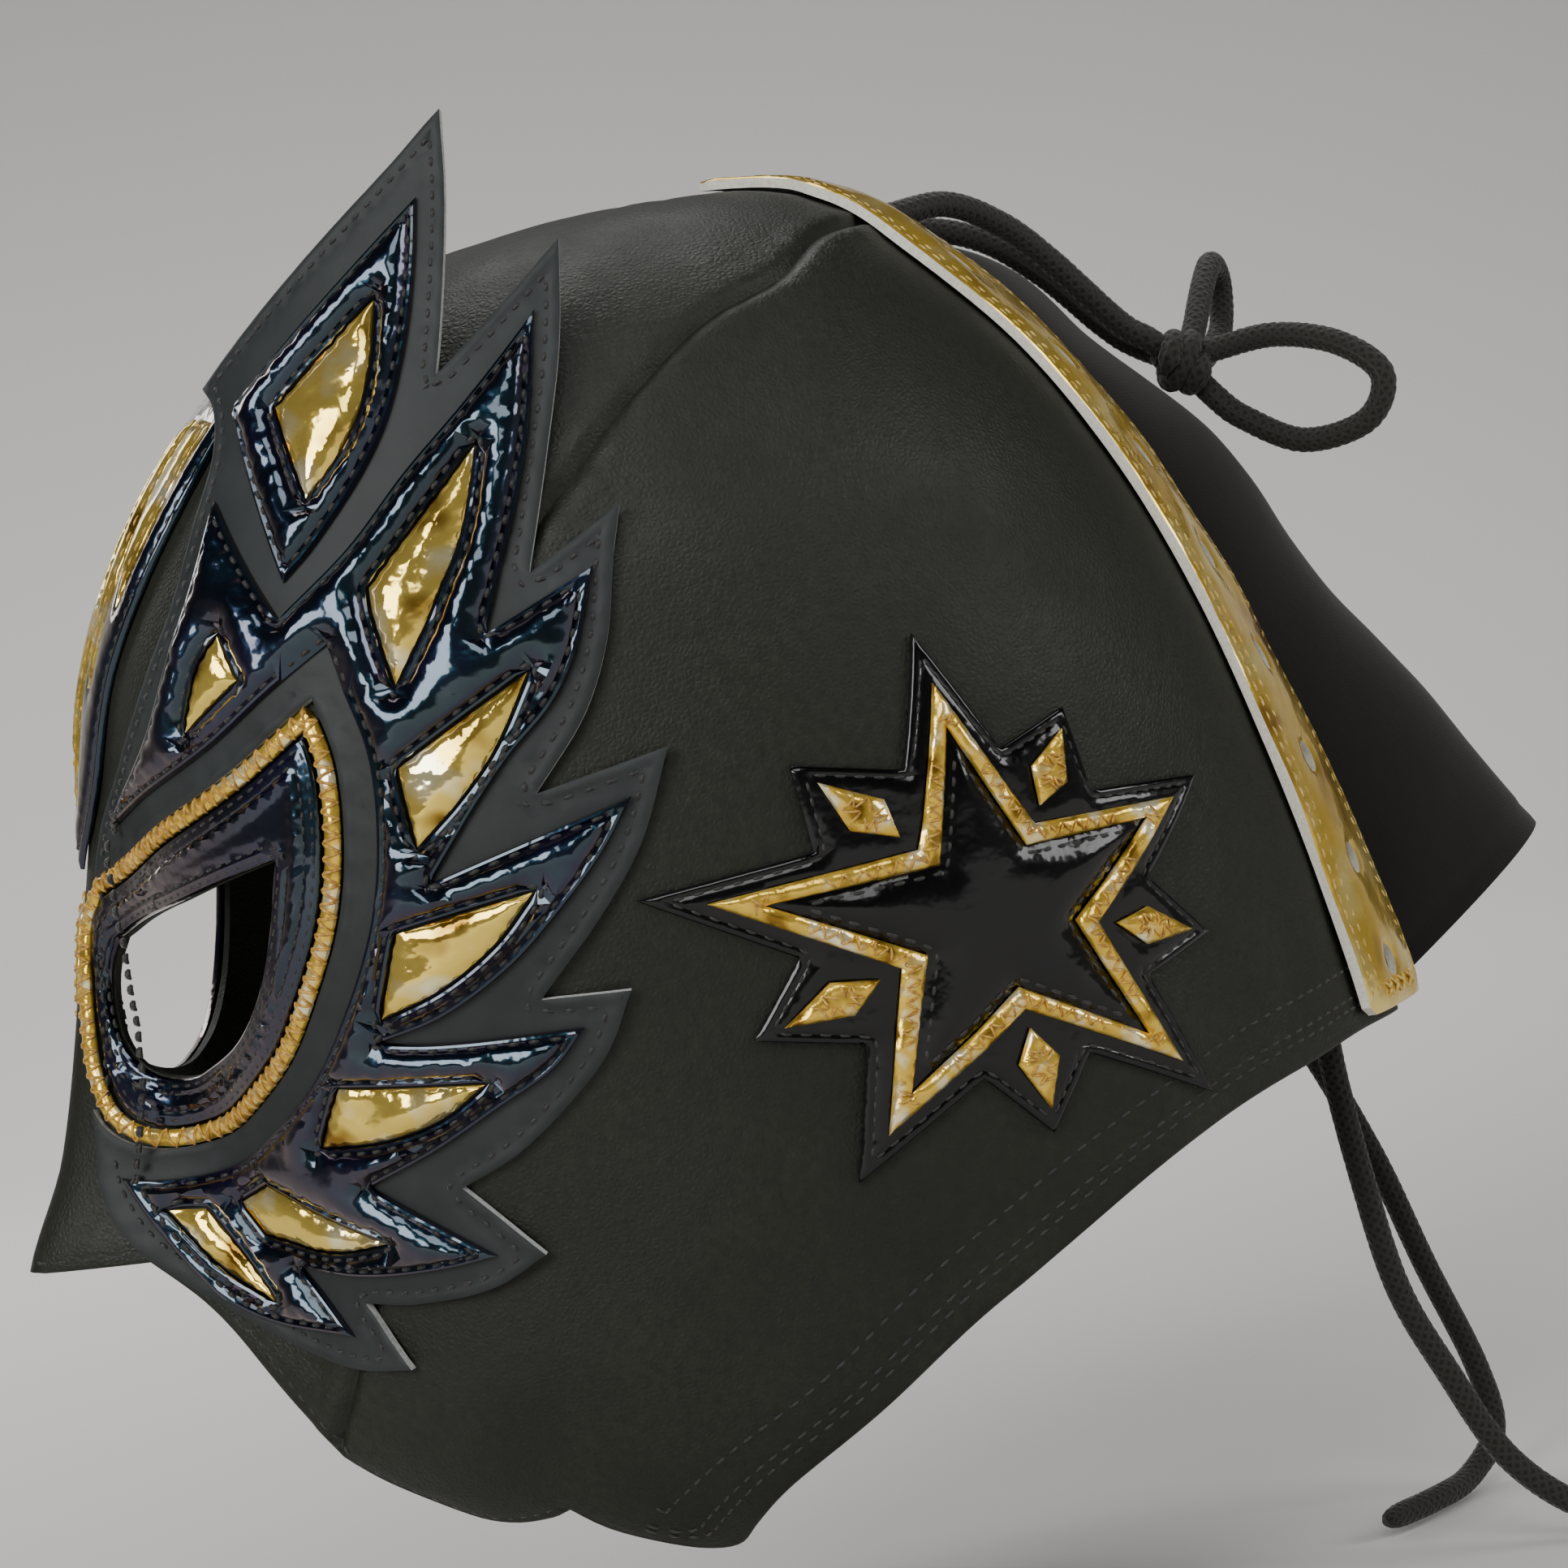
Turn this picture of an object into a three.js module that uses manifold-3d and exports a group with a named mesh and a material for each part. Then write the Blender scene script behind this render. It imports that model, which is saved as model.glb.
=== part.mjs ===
// Laced wrestling mask with flame appliques, in the form it keeps on a head.
// Millimetres, +Z up, the face looks along -Y and the wearer's left is +X.
// The origin is the crown of the head, on the outside of the hood.

import * as THREE from 'three';
import { mergeVertices } from 'three/addons/utils/BufferGeometryUtils.js';
import Module from 'manifold-3d';

const wasm = await Module();
wasm.setup();

// Driving dimensions: the head form that the mask keeps
const HEAD_HEIGHT = 200;
const HEAD_LENGTH = 200;
const HEAD_BREADTH = 154;
const NOSE_REACH = 38;

// Driving dimensions: cloth, leather and foil
const HOOD_WALL = 2.0;
const BACKING_WALL = 1.5;
const PATENT_WALL = 3.0;
const INLAY_WALL = 2.0;
const PIPING_WIDTH = 2.8;
const PIPING_WALL = 2.8;
const RING_WALL = 2.3;
const STRIP_WALL = 2.0;
const TONGUE_WALL = 2.0;
const EMBLEM_WALL = 1.6;
const GOLD_WALL = 1.4;
const PATENT_MARGIN = 5.0;
const CLEARANCE = 0.3;
const STRIP_GAP = 0.6;

// Driving dimensions: the star emblem, the lacing and the laces
const STAR_RADIUS = 36;
const STAR_WAIST = 0.42;
const STAR_BAR = 3.0;
const STAR_BORDER = 4.0;
const RAY_LENGTH = 13;
const RAY_WIDTH = 6;
const HOLE_COUNT = 8;
const HOLE_WIDTH = 5.4;
const LACE_DIAMETER = 4.4;
const KNOT_LENGTH = 13;

const HALF_LENGTH = HEAD_LENGTH / 2;
const HALF_BREADTH = HEAD_BREADTH / 2;

// Level sections of the head form. Drop is a share of the head's height, front, back and
// centre are shares of half its length, half and spread are shares of half its breadth,
// and nose is a share of the nose's reach.
const SECTIONS = [
  { drop: 0, front: 0, back: 0, half: 0, centre: 0, nose: 0, spread: 0.18 },
  { drop: 0.01, front: 0.27, back: 0.25, half: 0.29, centre: 0, nose: 0, spread: 0.18 },
  { drop: 0.04, front: 0.52, back: 0.4, half: 0.55, centre: -0.02, nose: 0, spread: 0.18 },
  { drop: 0.1, front: 0.73, back: 0.53, half: 0.74, centre: -0.02, nose: 0, spread: 0.18 },
  { drop: 0.19, front: 0.9, back: 0.67, half: 0.87, centre: 0, nose: 0, spread: 0.18 },
  { drop: 0.3, front: 1.01, back: 0.79, half: 0.96, centre: 0.03, nose: 0.03, spread: 0.18 },
  { drop: 0.425, front: 1.04, back: 0.89, half: 1, centre: 0.06, nose: 0.13, spread: 0.17 },
  { drop: 0.55, front: 1.03, back: 0.97, half: 1, centre: 0.08, nose: 0.34, spread: 0.16 },
  { drop: 0.675, front: 0.99, back: 1.04, half: 0.96, centre: 0.1, nose: 0.66, spread: 0.18 },
  { drop: 0.8, front: 0.96, back: 1.09, half: 0.92, centre: 0.12, nose: 1, spread: 0.21 },
  { drop: 0.925, front: 0.95, back: 1.1, half: 0.87, centre: 0.12, nose: 0.63, spread: 0.29 },
  { drop: 1.025, front: 0.82, back: 0.98, half: 0.79, centre: 0.08, nose: 0.16, spread: 0.34 },
  { drop: 1.1, front: 0.58, back: 0.86, half: 0.7, centre: 0.04, nose: 0, spread: 0.34 },
  { drop: 1.2, front: 0.45, back: 0.74, half: 0.61, centre: 0.02, nose: 0, spread: 0.34 },
];
const LAST_LEVEL = SECTIONS.length - 1;
const FACE_POWER = 2.3;
const NAPE_POWER = 2.0;

// Outlines are given as an angle round the head, in degrees from the face towards the
// wearer's left, and a drop below the crown in per cent of the head's height.
const FLAME_BACKING = [
  [60, -5.8], [60, 1], [59, 11], [58.5, 14.2], [71.5, 6], [70.4, 13.5], [68.2, 21.7], [65.8, 30.4],
  [73.8, 26.8], [72.4, 31.2], [70.4, 36.4], [67.2, 41.4], [62, 46.4], [72.6, 45], [68.7, 51.6],
  [64.6, 55.9], [57.8, 61.4], [64.8, 62], [61.4, 66.5], [57, 69.8], [51.7, 72.7], [46, 74.5],
  [51.8, 80.6], [46.7, 82.5], [38.6, 83], [31.7, 82.5], [36.4, 88], [29.6, 87.6], [24, 86],
  [18, 83.2], [13.5, 80], [9.5, 76], [7.5, 73], [5.8, 69], [5.8, 46], [8, 42], [16, 37],
  [23, 32.2], [26.8, 28.2], [30, 20.6], [31.9, 15.7], [30.8, 12.2], [28.2, 10.4],
];
const HORN_PATENT = [
  [35, 13], [57, 0.5], [56.7, 5.5], [55.4, 12.3], [53, 18.2], [46.6, 25.1], [43.6, 27.2],
];
const FLAME_PATENT = [
  [68.4, 11], [66.9, 19.7], [63.6, 29.9], [61.5, 34.1], [70.9, 30.9], [67.9, 36.9], [65.1, 40.2],
  [60.9, 43.3], [52.2, 51.2], [69, 48], [66, 51.4], [61.1, 55.4], [56.3, 58.5], [49.5, 61.2],
  [43.2, 62.2], [48, 63], [60.5, 64], [57.4, 66.5], [51.7, 68.8], [45, 71.2], [37, 73.2],
  [47.6, 80], [42.9, 80.4], [32.5, 80.2], [24, 79], [30, 85], [20, 83.3], [15.8, 81.2],
  [13.4, 78.6], [11.2, 75.5], [9, 72], [7.2, 68.6], [7.2, 46], [9, 43.9], [24.4, 35.8],
  [28.4, 31.6], [30.9, 27.6], [33.8, 19.7], [43.4, 29.9], [50.1, 25.8], [55.4, 21.1], [61, 16.9],
];
const GOLD_INLAYS = [
  [[36.3, 30], [38.3, 33.5], [31, 36.4], [33.6, 32.1]],
  [[52.3, 7.6], [51.7, 13.1], [50.1, 17.1], [45.8, 21.4], [41.4, 13.9]],
  [[62, 20.3], [60.1, 27.2], [57.2, 31.9], [53.4, 36.4], [52.3, 29.1]],
  [[63.8, 37.6], [59.5, 42.9], [56, 45.8], [52, 48.4], [52, 42.5]],
  [[59.8, 53.4], [55.8, 56.5], [50.4, 59], [44.4, 60.4], [48.2, 54.4]],
  [[51.2, 66.8], [46.5, 68.8], [40.7, 69.7], [33, 69.5], [37.3, 65.2]],
  [[36.6, 77.8], [29.6, 77.9], [20.4, 76.1], [18, 73.3], [22.4, 72.2]],
  [[20.2, 81.6], [15.6, 78.5], [11.3, 73.2], [14, 73.5]],
];
const EYE_PIPING = [
  [45.4, 36.2], [46.3, 41], [45.2, 47.5], [42.6, 53], [38, 58.2], [32.4, 62.5], [24, 66], [16, 68],
  [10, 68], [6.5, 66], [4.2, 62], [3, 57], [2.6, 52.5], [3.2, 48.8], [6, 46], [20, 43.3], [35, 40.2],
];
const EYE_OPENING = [
  [38.2, 47.2], [35.2, 52.6], [31.6, 56.8], [26, 60.2], [18.5, 62.2], [13, 63], [9.6, 62],
  [7.4, 59.5], [6.4, 56], [6.6, 53], [8, 51], [12, 50], [23, 48.9],
];
const CREST_BASE = [[0, 9], [14, 9.5], [25, 11.5], [24, 17], [19, 24], [12, 31], [6, 39], [0, 45]];
const CREST_LANCET = [[0, 11], [2.8, 14], [2.6, 26], [0, 40]];
const CREST_BARS = [
  [[6.2, 11.6], [11.4, 12], [10, 22], [6, 31], [5.6, 24]],
  [[14.8, 12.2], [21.6, 13], [19, 19], [14, 25.5], [13.2, 20]],
];
const HEM = [
  [-3, 76], [2.5, 76.3], [10, 77], [13.5, 80.8], [17.7, 85.8], [22.7, 92.4], [24.6, 96.5], [28.6, 99.9],
  [33, 102.3], [41, 102.4], [44, 101.8], [46, 104.6], [50, 107.2], [55, 107.6], [60, 106], [67, 103],
  [77, 98.6], [88, 92.2], [101, 86.5], [113, 82.9], [120, 81.4], [128, 80.4], [138, 79.6], [186, 79],
];

// The clear space under the nose: its width is a share of the head's breadth, its top and
// height are shares of the head's height
const MOUTH_CLEAR = { width: 0.18, top: 0.79, height: 0.45 };

// The lacing strips: the angles of their outer and inner edges at each drop in per cent
const LACING = [
  { drop: 0.6, outer: 118, inner: 158 },
  { drop: 1, outer: 125, inner: 161 },
  { drop: 4, outer: 131, inner: 159 },
  { drop: 10, outer: 132, inner: 153 },
  { drop: 19, outer: 137, inner: 155 },
  { drop: 30, outer: 139, inner: 157 },
  { drop: 55, outer: 138.5, inner: 158 },
  { drop: 78.6, outer: 137.5, inner: 157 },
];
const STRIP_OVERHANG = 7;
const TOP_HOLE = 12;
const BOTTOM_HOLE = 75;

// The tongue bulges out of the lacing gap: the drop in per cent of the row that stays on
// the head, how far its middle stands out and how far its middle is raised, as shares of
// the head's height
const TONGUE = [
  { drop: 0.6, out: 0, rise: 0 },
  { drop: 4, out: 0.01, rise: 0.005 },
  { drop: 9, out: 0.06, rise: 0.015 },
  { drop: 19, out: 0.07, rise: 0.025 },
  { drop: 32, out: 0.1, rise: 0.045 },
  { drop: 50, out: 0.115, rise: 0.075 },
  { drop: 66, out: 0.15, rise: 0.1 },
  { drop: 78.4, out: 0.195, rise: 0.11 },
];
const TONGUE_TUCK = 9;
const TONGUE_INSET = 2;
const TONGUE_DEPTH = 1.8;

// The seam between the face panels and the side panels, seen from the side: shares of half
// the head's length backwards from the origin and of its height downwards
const SEAM = [
  [0.6, 0.03], [0.38, 0.06], [0.22, 0.075], [0.1, 0.11], [-0.04, 0.135], [-0.18, 0.18], [-0.3, 0.23],
  [-0.45, 0.31], [-0.6, 0.46], [-0.7, 0.65], [-0.8, 0.78], [-0.88, 0.88], [-0.95, 0.97],
];
const BEYOND = 2;

// The upper flames stand up off the head above this drop in per cent, each part of a
// section moving by this share of the rise
const PLATE_DROP = 30;
const PLATE_LEAN = { front: -0.4, back: -0.3, half: -0.2 };

const STAR_PLACE = { angle: 95, drop: 62.5 };

// Routes of the laces, chosen by hand, in millimetres
const LACE_ROUTES = {
  lace_strand_left: [[17, 41.5, -10.5], [12, 54, -9.5], [7, 65, -14], [5.5, 73, -21.5], [5.2, 83, -34],
    [6.6, 87.3, -38.1]],
  lace_strand_right: [[-17, 41.5, -10.5], [-12, 54, -9.5], [-6.5, 65, -14], [-3, 74, -22.6],
    [-1.4, 83, -33.8], [0.2, 87.6, -38.4]],
  bow_loop_left: [[8, 99.2, -42], [13, 108, -42], [20, 116, -46], [24, 121, -53], [21, 118, -60],
    [14, 109, -61], [9, 101, -55], [7, 97, -50]],
  bow_loop_right: [[3.5, 96.8, -38.4], [-3, 103, -30], [-9, 108, -25.5], [-14, 111, -29], [-13, 109, -37],
    [-7, 103, -41.5], [0, 99, -42.5]],
  lace_end_left: [[25, 90.2, -139], [25, 88, -143.5], [25, 87, -150], [25, 86, -165], [25, 87, -185],
    [26, 89, -206], [28, 94, -222], [32, 100, -238], [38, 109, -248], [46, 118, -250]],
  lace_end_right: [[-24, 90.6, -139], [-24, 88.4, -144], [-23, 90.6, -152], [-20, 99, -166],
    [-17, 107, -190], [-15, 112, -212], [-13, 117, -232], [-11, 117, -244], [-7, 109, -250],
    [0, 99, -250.4], [7, 86, -250]],
};
const KNOT_PLACE = [6, 92.6, -42.9];
const KNOT_SHAPE = [0.42, 0.5, 0.5];

// The flat working sheet: millimetres a degree, and the slight bow that keeps its grid
const ARC = 1.5;
const BOW = 3e-4;
const CUT_DROP = 124;
const COLUMN_STEP = 10;
const INNER_COLUMNS = 24;
const LEVELS = [0.5, 1, 1.5, 2, 2.5, 3, 4, 5, 6, 7, 8, 8.5, 9, 9.5, 10, 11, 12, 13];
const INNER_LEVELS = LEVELS.filter((level) => Number.isInteger(level));
const CUT_IN = -6;
const CUT_OUT = 4;
const PRISM_FOOT = -20;
const PRISM_TOP = 100;

const leather = { color: 0x2b2d28, roughness: 0.62, metalness: 0 };
const vinyl = { color: 0x3a3e3e, roughness: 0.7, metalness: 0 };
const patent = { color: 0x10161f, roughness: 0.12, metalness: 0 };
const gold = { color: 0xd9a531, roughness: 0.2, metalness: 1 };
const cloth = { color: 0x1b1715, roughness: 0.85, metalness: 0 };
const braid = { color: 0x14140f, roughness: 0.8, metalness: 0 };

const mask = new THREE.Group();
mask.name = 'wrestling_mask';

// Solids and meshes

function solidOf(geometry) {
  geometry.deleteAttribute('normal');
  geometry.deleteAttribute('uv');
  const merged = mergeVertices(geometry, 1e-4);
  return new wasm.Manifold(new wasm.Mesh({
    numProp: 3,
    vertProperties: new Float32Array(merged.attributes.position.array),
    triVerts: new Uint32Array(merged.index.array),
  }));
}

function geometryOf(solid) {
  const mesh = solid.getMesh();
  const geometry = new THREE.BufferGeometry();
  geometry.setAttribute('position', new THREE.BufferAttribute(mesh.vertProperties, 3));
  geometry.setIndex(new THREE.BufferAttribute(mesh.triVerts, 1));
  return geometry;
}

function add(name, geometry, finish) {
  const mesh = new THREE.Mesh(geometry, new THREE.MeshStandardMaterial(finish));
  mesh.name = name;
  mask.add(mesh);
}

function mirrored(geometry) {
  const copy = geometry.clone();
  copy.scale(-1, 1, 1);
  const index = copy.index.array;
  for (let i = 0; i < index.length; i += 3) {
    [index[i], index[i + 1]] = [index[i + 1], index[i]];
  }
  return copy;
}

function addPair(name, solid, finish) {
  const geometry = geometryOf(solid);
  add(`${name}_left`, geometry, finish);
  add(`${name}_right`, mirrored(geometry), finish);
}

// The head form

function blend(before, from, to, after, share) {
  const slopeIn = (to - before) / 2;
  const slopeOut = (after - from) / 2;
  const s2 = share * share;
  const s3 = s2 * share;
  return (2 * s3 - 3 * s2 + 1) * from + (s3 - 2 * s2 + share) * slopeIn
    + (3 * s2 - 2 * s3) * to + (s3 - s2) * slopeOut;
}

// A column of the section table at a level that may lie between two rows. Widths change
// sign past the crown, so that the top stays round.
function column(name, level) {
  const row = Math.min(Math.floor(level), LAST_LEVEL - 1);
  const turn = ['front', 'back', 'half'].includes(name) ? -1 : 1;
  const at = (i) => (i < 0 ? turn * SECTIONS[-i][name] : SECTIONS[Math.min(i, LAST_LEVEL)][name]);
  return blend(at(row - 1), at(row), at(row + 1), at(row + 2), level - row);
}

function levelAt(drop) {
  let low = 0;
  let high = LAST_LEVEL;
  for (let i = 0; i < 30; i += 1) {
    const middle = (low + high) / 2;
    if (column('drop', middle) < drop) low = middle;
    else high = middle;
  }
  return (low + high) / 2;
}

function sectionAt(level) {
  return {
    z: -column('drop', level) * HEAD_HEIGHT,
    front: column('front', level) * HALF_LENGTH,
    back: column('back', level) * HALF_LENGTH,
    half: column('half', level) * HALF_BREADTH,
    centre: column('centre', level) * HALF_LENGTH,
    nose: column('nose', level) * NOSE_REACH,
    spread: column('spread', level) * HALF_BREADTH,
  };
}

function pointOn(section, angle) {
  const turn = THREE.MathUtils.degToRad(angle);
  const side = Math.sin(turn);
  const ahead = Math.cos(turn);
  const power = ahead > 0 ? FACE_POWER : NAPE_POWER;
  const reach = (Math.abs(side) ** power + Math.abs(ahead) ** power) ** (-1 / power);
  const x = section.half * side * reach;
  const half = ahead > 0 ? section.front + section.centre : section.back - section.centre;
  const bridge = ahead > 0 ? section.nose * Math.exp(-((x / section.spread) ** 2)) : 0;
  return new THREE.Vector3(x, section.centre - half * ahead * reach - bridge, section.z);
}

function lifted(place, angle, down, out) {
  const step = 0.5;
  const across = place(angle + step, down).sub(place(angle - step, down));
  const below = place(angle, down + step * 0.1).sub(place(angle, down - step * 0.1));
  const outward = below.cross(across).normalize();
  return place(angle, down).addScaledVector(outward, out);
}

const onLevel = (angle, level) => pointOn(sectionAt(Math.max(level, 0)), angle);

function onHead(angle, drop) {
  const share = drop / 100;
  const section = sectionAt(levelAt(share));
  section.z = -share * HEAD_HEIGHT;
  return pointOn(section, angle);
}

// The surface of the flames: the head up to the brow, then a plate that stands up
function onPlate(angle, drop) {
  const rise = Math.max(PLATE_DROP - drop, 0) / 100 * HEAD_HEIGHT;
  const section = sectionAt(levelAt(Math.max(drop, PLATE_DROP) / 100));
  section.z = -drop / 100 * HEAD_HEIGHT;
  section.front += PLATE_LEAN.front * rise;
  section.back += PLATE_LEAN.back * rise;
  section.half += PLATE_LEAN.half * rise;
  section.nose *= Math.max(1 - rise / NOSE_REACH, 0);
  return pointOn(section, angle);
}

// The grid that every layer shares, so that the gaps between layers stay even
const headRows = LEVELS.map((level) => column('drop', level) * 100);
const plateRows = [-12, 2, 16].concat(headRows.filter((drop) => drop >= PLATE_DROP - 0.01));
headRows.push(CUT_DROP + 2);

const headSheet = { place: onHead, rows: headRows, nodes: new Map() };
const plateSheet = { place: onPlate, rows: plateRows, nodes: new Map() };

function nodeOf(sheet, column_, row) {
  const key = `${column_} ${row}`;
  if (!sheet.nodes.has(key)) {
    const angle = column_ * COLUMN_STEP;
    const drop = sheet.rows[row];
    const foot = sheet.place(angle, drop);
    sheet.nodes.set(key, { foot, outward: lifted(sheet.place, angle, drop, 1).sub(foot) });
  }
  return sheet.nodes.get(key);
}

// A place on the grid's facets, a distance outside them
function onSheet(sheet, angle, drop, out) {
  const across = angle / COLUMN_STEP;
  const left = Math.floor(across);
  let row = 0;
  while (row < sheet.rows.length - 2 && drop > sheet.rows[row + 1]) row += 1;
  const right = across - left;
  const under = (drop - sheet.rows[row]) / (sheet.rows[row + 1] - sheet.rows[row]);
  const point = new THREE.Vector3();
  const corners = [
    [left, row, 1 - Math.max(right, under)],
    [left + 1, row, Math.max(right - under, 0)],
    [left, row + 1, Math.max(under - right, 0)],
    [left + 1, row + 1, Math.min(right, under)],
  ];
  for (const [c, r, weight] of corners) {
    const node = nodeOf(sheet, c, r);
    point.addScaledVector(node.foot, weight);
    point.addScaledVector(node.outward, weight * out);
  }
  return point;
}

// Layers: an outline cut out of a slab on the flat sheet, then bent onto the head

const millimetresDown = HEAD_HEIGHT / 100;
const flat = ([angle, drop]) => new THREE.Vector2(angle * ARC, -drop * millimetresDown);
const bowAt = (x, y) => BOW * (x * x + y * y);

// Folds each cell of a box's face along its other diagonal, as the hood's cells are
function turnDiagonals(geometry, group) {
  const index = geometry.index.array;
  for (let i = group.start; i < group.start + group.count; i += 6) {
    const [a, b, c, d] = [index[i], index[i + 1], index[i + 4], index[i + 5]];
    index.set([a, b, c, a, c, d], i);
  }
}

function slab(sheet, angles, inner, outer) {
  const first = Math.floor(angles[0] / COLUMN_STEP) - 1;
  const last = Math.ceil(angles[1] / COLUMN_STEP) + 1;
  const across = last - first;
  const down = sheet.rows.length - 1;
  const geometry = new THREE.BoxGeometry(1, 1, 1, across, down, 1);
  const position = geometry.attributes.position;
  for (let i = 0; i < position.count; i += 1) {
    const angle = (first + (position.getX(i) + 0.5) * across) * COLUMN_STEP;
    const row = Math.round((0.5 - position.getY(i)) * down);
    const point = flat([angle, sheet.rows[row]]);
    const out = position.getZ(i) > 0 ? outer : inner;
    position.setXYZ(i, point.x, point.y, out + bowAt(point.x, point.y));
  }
  turnDiagonals(geometry, geometry.groups[4]);
  return solidOf(geometry);
}

function prism(points) {
  const shape = new THREE.Shape(points);
  const geometry = new THREE.ExtrudeGeometry(shape, { depth: PRISM_TOP - PRISM_FOOT, bevelEnabled: false });
  geometry.translate(0, 0, PRISM_FOOT);
  return solidOf(geometry);
}

// Moves each side of an outline outwards by a distance, or inwards where it is negative
function grown(points, distance) {
  const turn = THREE.ShapeUtils.isClockWise(points) ? -1 : 1;
  return points.map((point, i) => {
    const before = points[(i + points.length - 1) % points.length];
    const after = points[(i + 1) % points.length];
    const a = point.clone().sub(before).normalize();
    const b = after.clone().sub(point).normalize();
    const normal = new THREE.Vector2(a.y + b.y, -a.x - b.x).normalize();
    const stretch = Math.max(normal.x * a.y - normal.y * a.x, 0.45);
    return point.clone().addScaledVector(normal, turn * distance / stretch);
  });
}

function spanOf(points) {
  const angles = points.map((point) => point.x / ARC);
  return [Math.min(...angles), Math.max(...angles)];
}

function bent(sheet, solid) {
  const geometry = geometryOf(solid);
  const position = geometry.attributes.position;
  for (let i = 0; i < position.count; i += 1) {
    const x = position.getX(i);
    const y = position.getY(i);
    const point = onSheet(sheet, x / ARC, -y / millimetresDown, position.getZ(i) - bowAt(x, y));
    position.setXYZ(i, point.x, point.y, point.z);
  }
  return solidOf(geometry);
}

function layer(sheet, points, inner, outer, windows = []) {
  let body = slab(sheet, spanOf(points), inner, outer).intersect(prism(points));
  for (const window of windows) {
    body = body.subtract(prism(window));
  }
  return bent(sheet, body);
}

// The hood

function loft(inward, columns, rows) {
  const steps = rows.length;
  const geometry = new THREE.SphereGeometry(1, columns, steps + 1);
  const position = geometry.attributes.position;
  for (let i = 0; i < position.count; i += 1) {
    const row = Math.floor(i / (columns + 1));
    const angle = ((i % (columns + 1)) % columns) * 360 / columns;
    const level = row === 0 ? 0 : rows[Math.min(row, steps) - 1];
    let point = onLevel(angle, level);
    if (row === 0) {
      point.z -= inward;
    } else if (row > steps) {
      point.set(0, sectionAt(LAST_LEVEL).centre, point.z - inward * 2);
    } else {
      point = lifted(onLevel, angle, level, -inward);
      if (row === steps) point.z -= inward * 2;
    }
    position.setXYZ(i, point.x, point.y, point.z);
  }
  return solidOf(geometry);
}

function mirroredSolid(solid) {
  return solidOf(mirrored(geometryOf(solid)));
}

function cutter(points) {
  return layer(headSheet, points, CUT_IN, CUT_OUT);
}

function lacingAt(drop) {
  const next = Math.max(1, LACING.findIndex((row) => row.drop >= drop));
  const [above, below] = [LACING[next - 1], LACING[next]];
  const share = THREE.MathUtils.clamp((drop - above.drop) / (below.drop - above.drop), 0, 1);
  return {
    outer: THREE.MathUtils.lerp(above.outer, below.outer, share),
    inner: THREE.MathUtils.lerp(above.inner, below.inner, share),
  };
}

function seamSolid(kerf) {
  const line = SEAM.map(([back, drop]) => new THREE.Vector2(back * HALF_LENGTH, -drop * HEAD_HEIGHT));
  const far = BEYOND * HEAD_LENGTH;
  const points = [new THREE.Vector2(line[0].x, far), ...line];
  points.push(new THREE.Vector2(-far, line[line.length - 1].y), new THREE.Vector2(-far, far));
  const shape = new THREE.Shape(grown(points, kerf));
  const geometry = new THREE.ExtrudeGeometry(shape, { depth: 2 * HEAD_BREADTH, bevelEnabled: false });
  geometry.translate(0, 0, -HEAD_BREADTH);
  geometry.applyMatrix4(new THREE.Matrix4().makeBasis(
    new THREE.Vector3(0, 1, 0),
    new THREE.Vector3(0, 0, 1),
    new THREE.Vector3(1, 0, 0),
  ));
  return solidOf(geometry);
}

function halfSpace(side, from = 0) {
  const size = BEYOND * HEAD_LENGTH;
  const geometry = new THREE.BoxGeometry(size, 2 * size, 2 * size);
  geometry.translate(side * (size / 2 + from), 0, 0);
  return solidOf(geometry);
}

// Clears the space under the nose, where the two cuts of the hem meet
function mouthSolid() {
  const [width, height] = [MOUTH_CLEAR.width * HEAD_BREADTH, MOUTH_CLEAR.height * HEAD_HEIGHT];
  const geometry = new THREE.BoxGeometry(width, HEAD_LENGTH, height);
  geometry.translate(0, -HEAD_LENGTH, -MOUTH_CLEAR.top * HEAD_HEIGHT - height / 2);
  geometry.translate(0, HALF_LENGTH / 4, 0);
  return solidOf(geometry);
}

function buildHood() {
  const columns = 360 / COLUMN_STEP;
  const outside = loft(0, columns, LEVELS).intersect(halfSpace(1));
  let hood = outside.add(mirroredSolid(outside)).subtract(loft(HOOD_WALL, INNER_COLUMNS, INNER_LEVELS));
  const hem = cutter([...HEM, [HEM[HEM.length - 1][0], CUT_DROP], [HEM[0][0], CUT_DROP]].map(flat));
  const opening = cutter(EYE_OPENING.map(flat));
  hood = hood.subtract(hem).subtract(mirroredSolid(hem));
  hood = hood.subtract(opening).subtract(mirroredSolid(opening)).subtract(mouthSolid());
  const edge = LACING.map((row) => [row.inner - STRIP_OVERHANG, row.drop]);
  edge.push([LACING[LACING.length - 1].inner - STRIP_OVERHANG, HEM[HEM.length - 1][1] + STRIP_OVERHANG]);
  const otherEdge = edge.map(([angle, drop]) => [360 - angle, drop]).reverse();
  hood = hood.subtract(cutter([...edge, ...otherEdge].map(flat)));
  const sides = hood.subtract(seamSolid(CLEARANCE));
  const face = hood.intersect(seamSolid(0));
  add('hood_face_left', geometryOf(face.intersect(halfSpace(1, CLEARANCE / 2))), leather);
  add('hood_face_right', geometryOf(face.intersect(halfSpace(-1, CLEARANCE / 2))), leather);
  add('hood_side_left', geometryOf(sides.intersect(halfSpace(1))), leather);
  add('hood_side_right', geometryOf(sides.intersect(halfSpace(-1))), leather);
}

// The flames round the eyes

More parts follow.
